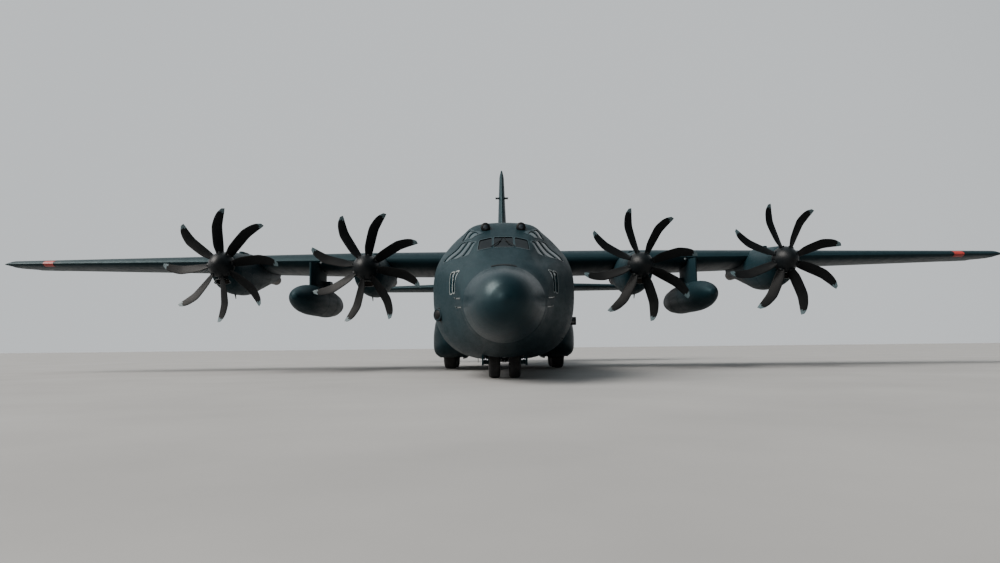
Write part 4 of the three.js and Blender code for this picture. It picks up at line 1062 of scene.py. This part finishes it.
def tank():
    axis = (TANK_X, 0, TANK_Z)
    radius_at = curve_table(TANK_PROFILE)
    rows = [[9400 + 60 * (1 - math.cos(t)), 130 * math.sin(t)] for t in (0.0, 0.35, 0.7, 1.1)]
    rows += [[s, radius_at(s)[0]] for s in np.linspace(9460, 16450, 60)] + [[16473, 32], [16480, 0]]
    both(lathe("fuel_tank_look_left", rows, "tank", axis, "s", 64), replaces="fuel_tank_left", smooth=50)
    for k, station in enumerate((10900, 12200, 13500, 14800)):
        r = radius_at(station)[0]
        rows = [[station, r - 2], [station + 4, r + 4], [station + 34, r + 4], [station + 38, r - 2]]
        both(lathe(f"tank_band_{k}_left", rows, "part", axis, "s", 64), smooth=30)
    cap = [[590, 62], [604, 62], [608, 54], [608, 0]]
    both(lathe("tank_filler_left", cap, "steel", (TANK_X - 330, 11250, TANK_Z - 170), "z", 32))


tank()
for side, word in SIDES:
    relook(f"tank_pylon_{word}", "part", 30)


# Wing and tail from the CAD's own shapes, smoothed
for node in ("centre_wing", "outer_wing_left", "outer_wing_right", "flap_left", "flap_right", "aileron_left",
             "aileron_right", "stabiliser_left", "stabiliser_right", "elevator_left", "elevator_right"):
    relook(node, "wing", 62)
for node in ("fin", "rudder"):
    relook(node, "tall", 62)
relook("wing_fairing", "part", 50)
relook("cargo_floor", "inside", 30)


# Main gear fairings
# Columns: station, outer side, bottom, top
GEAR_FAIRING = np.array([
    [10250, 1830, 1180, 1480],
    [10650, 2330, 780, 1830],
    [11300, 2640, 545, 2050],
    [12200, 2760, 470, 2150],
    [15700, 2760, 470, 2150],
    [16700, 2600, 560, 2000],
    [17300, 2320, 800, 1720],
    [17650, 1880, 1150, 1450],
], float)
fairing_rows = curve_table(GEAR_FAIRING)
BAY = {"x": (1690, 2480), "s": (12550, 15590)}


def smooth_through(points, steps=6):
    """A smooth line through the points."""
    pts = [np.array(p, float) for p in points]
    pts = [2 * pts[0] - pts[1], *pts, 2 * pts[-1] - pts[-2]]
    out = []
    for a, b, c, d in zip(pts, pts[1:], pts[2:], pts[3:]):
        for k in range(steps):
            t = k / steps
            bend = (2 * a - 5 * b + 4 * c - d) * t * t + (3 * b - a - 3 * c + d) * t ** 3
            out.append(tuple(0.5 * (2 * b + (c - a) * t + bend)))
    return [*out, tuple(pts[-2])]


def fairing_ring(station):
    side, bottom, top = fairing_rows(station)
    height = top - bottom
    bulge = [(side - back, bottom + share * height) for back, share in
             ((260, 0), (70, 0.1), (0, 0.28), (30, 0.68), (230, 0.92))]
    curve = smooth_through([*bulge, (1500, top)])
    section = [(900, max(bottom, 670)), (1500, bottom), *curve, (900, top - 60)]
    return [(max(x, 900), station, z) for x, z in section]


def gear_fairing():
    runs = (10250, 12200, 26), (12300, 15700, 10), (15800, 17650, 24)
    stations = [float(s) for run in runs for s in np.linspace(*run)]
    body = loft("gear_fairing_look_left", [fairing_ring(s) for s in stations], "part")
    carve(body, chunk("bay", *BAY["x"], *BAY["s"], 300, 1560, "bay", bevel=0))
    both(body, replaces="gear_fairing_left", smooth=40)
    (x0, x1), (s0, s1) = BAY["x"], BAY["s"]
    corners = [[x0, s0], [x1, s0], [x1, s1], [x0, s1]]
    rim, outer = rounded(corners, 30), rounded(corners, 60, 30)
    rings = [[(x, s, z) for x, s in line] for line, z in ((rim, 474), (rim, 464), (outer, 464), (outer, 474))]
    both(loft("bay_rim_left", rings + [rings[0]], "part", caps=False), smooth=30)


gear_fairing()
for side, word in SIDES:
    relook(f"main_gear_door_{word}", "part", 30)
    relook(f"nose_gear_door_{word}", "part", 30)


# Wheels
# Columns: across as a share of the half width, radius as a share of the tyre's radius, or below of the rim's
TYRE_SIDE = [(0.62, 0.46), (0.9, 0.52), (0.99, 0.66), (1.0, 0.76), (0.96, 0.87), (0.84, 0.945)]
RIM = [(0.60, 1.0), (0.66, 0.985), (0.66, 0.93), (0.52, 0.9), (0.42, 0.82), (0.40, 0.62), (0.47, 0.56),
       (0.50, 0.42), (0.5, 0.3), (0.58, 0.28), (0.58, 0.12), (0.56, 0.0)]
BRAKE = [(0.60, 1.0), (0.64, 0.96), (0.5, 0.9), (0.42, 0.55), (0.42, 0.0)]


def tyre_profile(radius, half, grooves):
    """Tyre section from one bead round the tread to the other, as [across, radius]."""
    side = [[across * half, share * radius] for across, share in TYRE_SIDE]
    tread = []

    def crown(across):
        return radius * (1 - 0.032 * across * across)

    for k in range(grooves + 1):
        a, b = (0.72 - 1.44 * i / (grooves + 1) for i in (k, k + 1))
        tread += [[(a - 0.02) * half, crown(a)], [(b + 0.02) * half, crown(b)]]
        if k < grooves:
            bottom = crown(b) - 0.02 * radius
            tread += [[(b + 0.015) * half, bottom], [(b - 0.015) * half, bottom]]
    other = [[-w, r] for w, r in reversed(side)]
    return smooth_through(side, 4) + tread + smooth_through(other, 4)


def wheel(name, x, station, radius, width, body, node, grooves, bolts):
    half, rim_r = width / 2, 0.47 * radius
    out = 1 if x > 0 else -1

    def turned(part, rows, across, share, mat, sides=48, centre=(x, station, radius)):
        return lathe(part, [[w * across, r * share] for w, r in rows], mat, centre, "x", sides)

    parts = [
        turned("tyre", tyre_profile(radius, half, grooves), out, 1, "tyre", 72),
        turned("rim", RIM, out * half, rim_r, "hub"),
        turned("brake", BRAKE, -out * half, rim_r, "dark"),
    ]
    for t in turns(bolts):
        at = (x + out * half * 0.40, station + 0.7 * rim_r * math.cos(t), radius + 0.7 * rim_r * math.sin(t))
        bolt = [(0, 0.055), (0.05, 0.055), (0.062, 0.035), (0.062, 0)]
        parts.append(turned("bolt", bolt, out * half, rim_r, "steel", 8, at))
    show(merged(name, parts), body, "tyre", node, 40)


MAIN_STATIONS = (13310, 14830)
MAIN_WHEELS = [(side * 2175, station) for side in (1, -1) for station in MAIN_STATIONS]
for count, (wx, ws) in enumerate(MAIN_WHEELS, 1):
    node = f"main_wheel_{count}"
    wheel(f"main_wheel_look_{count}", wx, ws, 710, 510, node, node, 4, 12)
for side, word in SIDES:
    node = f"nose_wheel_{word}"
    wheel(f"nose_wheel_look_{word}", side * 285, NOSE_STATION, 495, 330, "nose_wheels", node, 3, 10)


# Landing gear legs
def nose_gear():
    relook("nose_gear_fork", "steel", 40)
    relook("nose_gear_leg", "chrome", 40)
    s = NOSE_STATION
    collar = [[560, 64], [566, 92], [600, 96], [690, 96], [700, 84], [724, 84]]
    fork = [
        lathe("collar", collar, "hub", (0, s, 0), "z", 32),
        rod("link", [(0, s + 60, 600), (0, s + 210, 650), (0, s + 240, 672)], [26, 20, 20], "hub"),
        chunk("jack", -70, 70, s - 150, s - 60, 470, 560, "dark", 12),
        rod("lamp_arm", [(0, s - 60, 610), (0, s - 190, 640)], 16, "hub"),
    ]
    for x in (-150, 150):
        fork.append(rod("axle_nut", [(x - 20, s, 495), (x + 20, s, 495)], 66, "hub", 16))
    show(merged("nose_fork_fittings", fork), "nose_fork", "gear_steel")
    rows = [[0, 0], [4, 44], [10, 62], [44, 66], [70, 50], [80, 0]]
    show(lathe("nose_lamp", rows, "lamp", (0, s - 262, 640), "s", 32), "nose_fork", "gear_steel")
    sleeve = [[760, 86], [768, 98], [800, 103], [980, 103], [1010, 98]]
    fixed = [lathe("sleeve", sleeve, "hub", (0, s, 0), "z", 32)]
    # Drag braces and steering jacks, all at one height
    for x0, s0, x1, s1, mat in ((70, 60, 230, 520, "hub"), (150, -120, 150, 110, "steel")):
        for side in (1, -1):
            fixed.append(rod("brace", [(side * x0, s + s0, 1032), (side * x1, s + s1, 1032)], 22, mat))
    show(merged("nose_leg_fittings", fixed), "airframe", "gear_steel")


def main_gear():
    for _, word in SIDES:
        relook(f"main_gear_strut_{word}", "steel", 40)
    sleeve = [[980, 86], [990, 118], [1040, 122], [1520, 122], [1560, 100]]
    foot = [[560, 60], [566, 96], [600, 104], [800, 104], [820, 84]]
    parts = []
    for s in MAIN_STATIONS:
        pipe = [(1760, s - 100, 1400), (1730, s - 120, 1000), (1750, s - 110, 800), (1850, s - 60, 700)]
        parts += [
            lathe("sleeve", sleeve, "hub", (1780, s, 0), "z", 32),
            lathe("foot", foot, "hub", (1780, s, 0), "z", 32),
            rod("axle_collar", [(1850, s, 710), (1925, s, 710)], [120, 150], "dark", 24),
            rod("brake_pipe", pipe, 11, "dark", 10),
        ]
    both(merged("main_gear_fittings_left", parts), "gear_steel")


nose_gear()
main_gear()


# Sensors, lamps, aerials and small fittings
def sensor_domes():
    case = [[3502, 0], [3505, 70], [3513, 108], [3530, 125], [3552, 130], [3880, 130], [3896, 110], [3900, 0]]
    for side, word in SIDES:
        axis = (side * 490, 0, 4150)
        parts = [
            lathe("case", case, "dark", axis, "s", 40),
            lathe("lens", [[3496, 0], [3499, 46], [3507, 72]], "screen", axis, "s", 32),
            lathe("ring", [[3570, 130], [3574, 135], [3592, 135], [3596, 130]], "part", axis, "s", 40),
        ]
        show(merged(f"roof_sensor_{word}", parts))


def side_sensors():
    # The round one looks forward and out from the right side
    face = (-1850, 3830, 1765)
    case = [[300, 0], [300, 186], [34, 186], [12, 176], [2, 158], [0, 132]]
    sensor = merged("side_sensor_round", [
        lathe("case", case, "dark", face, "s", 44),
        lathe("rim", [[6, 168], [-4, 160], [-4, 138], [8, 130]], "part", face, "s", 44),
        lathe("window", [[10, 134], [-6, 110], [-20, 60], [-24, 0]], "dark", face, "s", 40),
        lathe("collar", [[150, 186], [154, 198], [184, 198], [188, 186]], "part", face, "s", 44),
    ])
    middle = Matrix.Translation(metres(face))
    sensor.data.transform(middle @ Matrix.Rotation(math.radians(-45), 4, "Z") @ middle.inverted())
    show(sensor)
    show(merged("side_sensor_box", [
        chunk("case", 1980, 2426, 7998, 8282, 1578, 1842, "dark", 14, 3),
        chunk("window", 2120, 2380, 7990, 8000, 1620, 1800, "screen", 4),
        chunk("cover", 2420, 2432, 8030, 8250, 1610, 1810, "part", 4),
    ]))


AERIALS = [
    # name, distance left, station, height up (down is negative), length
    ("aerial_top_front", 0, 5900, 260, 240),
    ("aerial_top_middle", 0, 8300, 180, 200),
    ("aerial_top_rear", 0, 19400, 260, 240),
    ("aerial_belly_front", -820, 6400, -170, 190),
    ("aerial_belly_middle", 300, 8900, -150, 240),
    ("aerial_belly_rear", -300, 10400, -150, 200),
]


def aerial(name, x, s, high, long):
    way = 1 if high > 0 else -1
    z = skin_z(s + 0.4 * long, x, high > 0) - 6 * way
    rings = []
    for t in (0.0, 0.25, 0.5, 0.75, 0.92, 1.0):
        chord = long * (1 - 0.45 * t) * (1 if t < 1 else 0.8)
        front = s + 0.35 * abs(high) * t
        half = 13 * (1 - 0.5 * t)
        rings.append([(x + half * math.sin(a), front + chord * (0.5 - 0.5 * math.cos(a)), z + high * t)
                      for a in turns(16)])
    middle = (x, s + 0.42 * long, z)
    rows = [[-14 * way, 0.42 * long], [6 * way, 0.42 * long], [12 * way, 0.36 * long], [12 * way, 0]]
    foot = lathe("foot", rows, "part", middle, "z", 28)
    foot.data.transform(Matrix.Translation(-metres(middle)))
    foot.data.transform(Matrix.Diagonal((0.35, 1, 1, 1)))
    foot.data.transform(Matrix.Translation(metres(middle)))
    show(merged(name, [loft("blade", rings, "dark"), foot]))


def lamp(name, place, radius, mat, axis="s", out=-1):
    lens = [(0, 1), (0.5, 0.94), (0.95, 0.62), (1.1, 0)]
    ring = [(0, 1.2), (0.2, 1.22), (0.26, 1.02)]
    parts = []
    for rows, look in ((lens, mat), (ring, "hub")):
        rows = [[out * along * radius, share * radius] for along, share in rows]
        parts.append(lathe("glass", rows, look, place, axis, 28))
    show(merged(name, parts))


def lamps():
    for side, word in SIDES:
        for k, (dx, dz) in enumerate(((-46, 25), (0, 40), (46, 25))):
            lamp(f"taxi_lamp_{word}_{k}", (side * 515 + dx, 3488, 500 + dz), 15, "lamp")
        lamp(f"wing_lamp_{word}", (side * 7200, 11875, 4250), 34, "lens")
    lamp("tip_lamp_left", (20150, 12560, 4412), 34, "lamp_red")
    lamp("tip_lamp_right", (-20150, 12560, 4412), 34, "lamp_green")
    lamp("tail_lamp", (0, 29700, 4352), 26, "lamp", out=1)
    lamp("beacon_fin", (0, 27300, 11618), 34, "lamp_red", "z", 1)
    lamp("beacon_belly", (0, 12100, 492), 60, "lamp_red", "z")


def nose_fittings():
    # The slot over the radome, pitot heads and wipers
    slot = band("radome_slot", 1406, 1500, -12, 20, "dark", 16.0)
    zone = chunk("zone", -310, 310, 1380, 1520, 2500, 3100, "dark", bevel=0)
    show(carve(slot, zone, "INTERSECT"), smooth=30)
    for side, word in SIDES:
        for k, z in enumerate((2060, 1840)):
            x = side * skin_x(1750, z)
            way = ((-20, 0), (95, 10), (110, 60), (110, 300))
            head = [(x + side * out, 1750 - ahead, z) for out, ahead in way]
            show(rod(f"pitot_{word}_{k}", head, [20, 17, 13, 10], "steel"))

        def on_skin(x, s, off):
            return side * x, s, skin_z(s, x) + off

        path = [on_skin(330, 2560, 14), on_skin(190, 2720, 22), on_skin(60, 2905, 4)]
        arm = rod("arm", path, 9, "dark", 10)
        edge = rod("edge", [on_skin(150, 2700, 6), on_skin(20, 3080, -8)], 7, "dark", 8)
        show(merged(f"wiper_{word}", [arm, edge]))


# The outer wing, at its root and its tip: span, leading edge, chord, thickness, height and tilt in degrees
WING_ROOT = np.array([5590, 11820, 4877, 0.17, 4330, 2.2])
WING_TIP = np.array([19950, 12419, 2480, 0.12, 4410, 0])


def red_bands():
    """A red band on the wing's leading edge near each tip."""
    section = [(u, 1) for u in np.linspace(0.075, 0, 9)] + [(u, -1) for u in np.linspace(0.01, 0.075, 8)]
    for side, word in SIDES:
        rings = []
        for span in np.linspace(18150, 18560, 5):
            t = (span - WING_ROOT[0]) / (WING_TIP[0] - WING_ROOT[0])
            _, edge, chord, thick, height, tilt = WING_ROOT + t * (WING_TIP - WING_ROOT)
            tilt = math.radians(tilt)
            ring = []
            for share, way in section:
                curve = 0.2969 * math.sqrt(share) - 0.126 * share - 0.3516 * share ** 2
                half = 5 * thick * curve * chord + (5 if share else 0)
                along = share * chord - (2 if share else 6)
                off = 0.08 * share * (1 - share) * chord + way * half
                ring.append((side * span, edge + along * math.cos(tilt) + off * math.sin(tilt),
                             height + off * math.cos(tilt) - along * math.sin(tilt)))
            rings.append(ring)
        strip = loft(f"red_band_{word}", rings, "red", closed=False, caps=False)
        with editing(strip.data) as bm:
            bmesh.ops.solidify(bm, geom=bm.faces[:], thickness=0.002)
        show(strip, smooth=50)


sensor_domes()
side_sensors()
for row in AERIALS:
    aerial(*row)
lamps()
nose_fittings()
red_bands()


# Floor and light
# A soft, plain sky: darker ahead of the nose, bright on the photo's left, with one bright spot high up there
BASE_SKY = (0.31, 0.35, 0.37)
# Columns: towards, where it starts and is full as the angle's cosine, colour
SKY = [
    ((0, 0, 1), 0.2, 0.95, (0.28, 0.38, 0.44)),
    ((0, -1, 0.25), -0.6, 1.0, (0.15, 0.18, 0.19)),
    ((-1, -0.35, 0.3), 0.0, 1.0, (1.7, 1.65, 1.6)),
    ((-0.68, -0.25, 0.69), 0.88, 0.985, (17.5, 16.6, 15.6)),
    ((0, 1, 0.05), 0.3, 0.9, (0.70, 0.73, 0.75)),
]
FLOOR_SIZE = 260.0


def make_stage():
    n = Nodes("floor_pale")
    tone = n.mix(n.span(n.noise(0.6, 4.0), 0.3, 0.7), (0.20, 0.20, 0.198), (0.235, 0.235, 0.232))
    floor = bpy.data.meshes.new("floor")
    corners = [(x * FLOOR_SIZE, y * FLOOR_SIZE, 0) for x, y in ((-1, -1), (1, -1), (1, 1), (-1, 1))]
    floor.from_pydata(corners, [], [(0, 1, 2, 3)])
    floor.materials.append(n.finish(Base_Color=tone, Roughness=0.9))
    ob = placed("floor", floor)
    ob.location.z = -0.002
    n = Nodes("studio", "worlds", "Generated")
    color = BASE_SKY
    for aim, low, high, tone in SKY:
        toward = n.node("VectorMath", n.coords, Vector(aim).normalized(), operation="DOT_PRODUCT")
        share = n.span(toward.outputs["Value"], low, high, interpolation_type="SMOOTHSTEP")
        color = n.mix(share, color, tone)
    background = n.tree.nodes["Background"]
    n.fill(background.inputs["Color"], color)
    n.fill(background.inputs["Strength"], 1.0)
    scene.world = n.owner


def light_above():
    data = bpy.data.lights.new("light_above", "AREA")
    data.shape = "RECTANGLE"
    data.size = data.size_y = 40
    data.energy = 1000
    data.color = (0.93, 0.98, 1.0)
    place, aim = Vector((0, 6, 30)), Vector((0, 2, 0))
    ob = placed("light_above", data)
    ob.location = place
    ob.rotation_euler = (aim - place).to_track_quat("-Z", "Y").to_euler()


make_stage()
light_above()
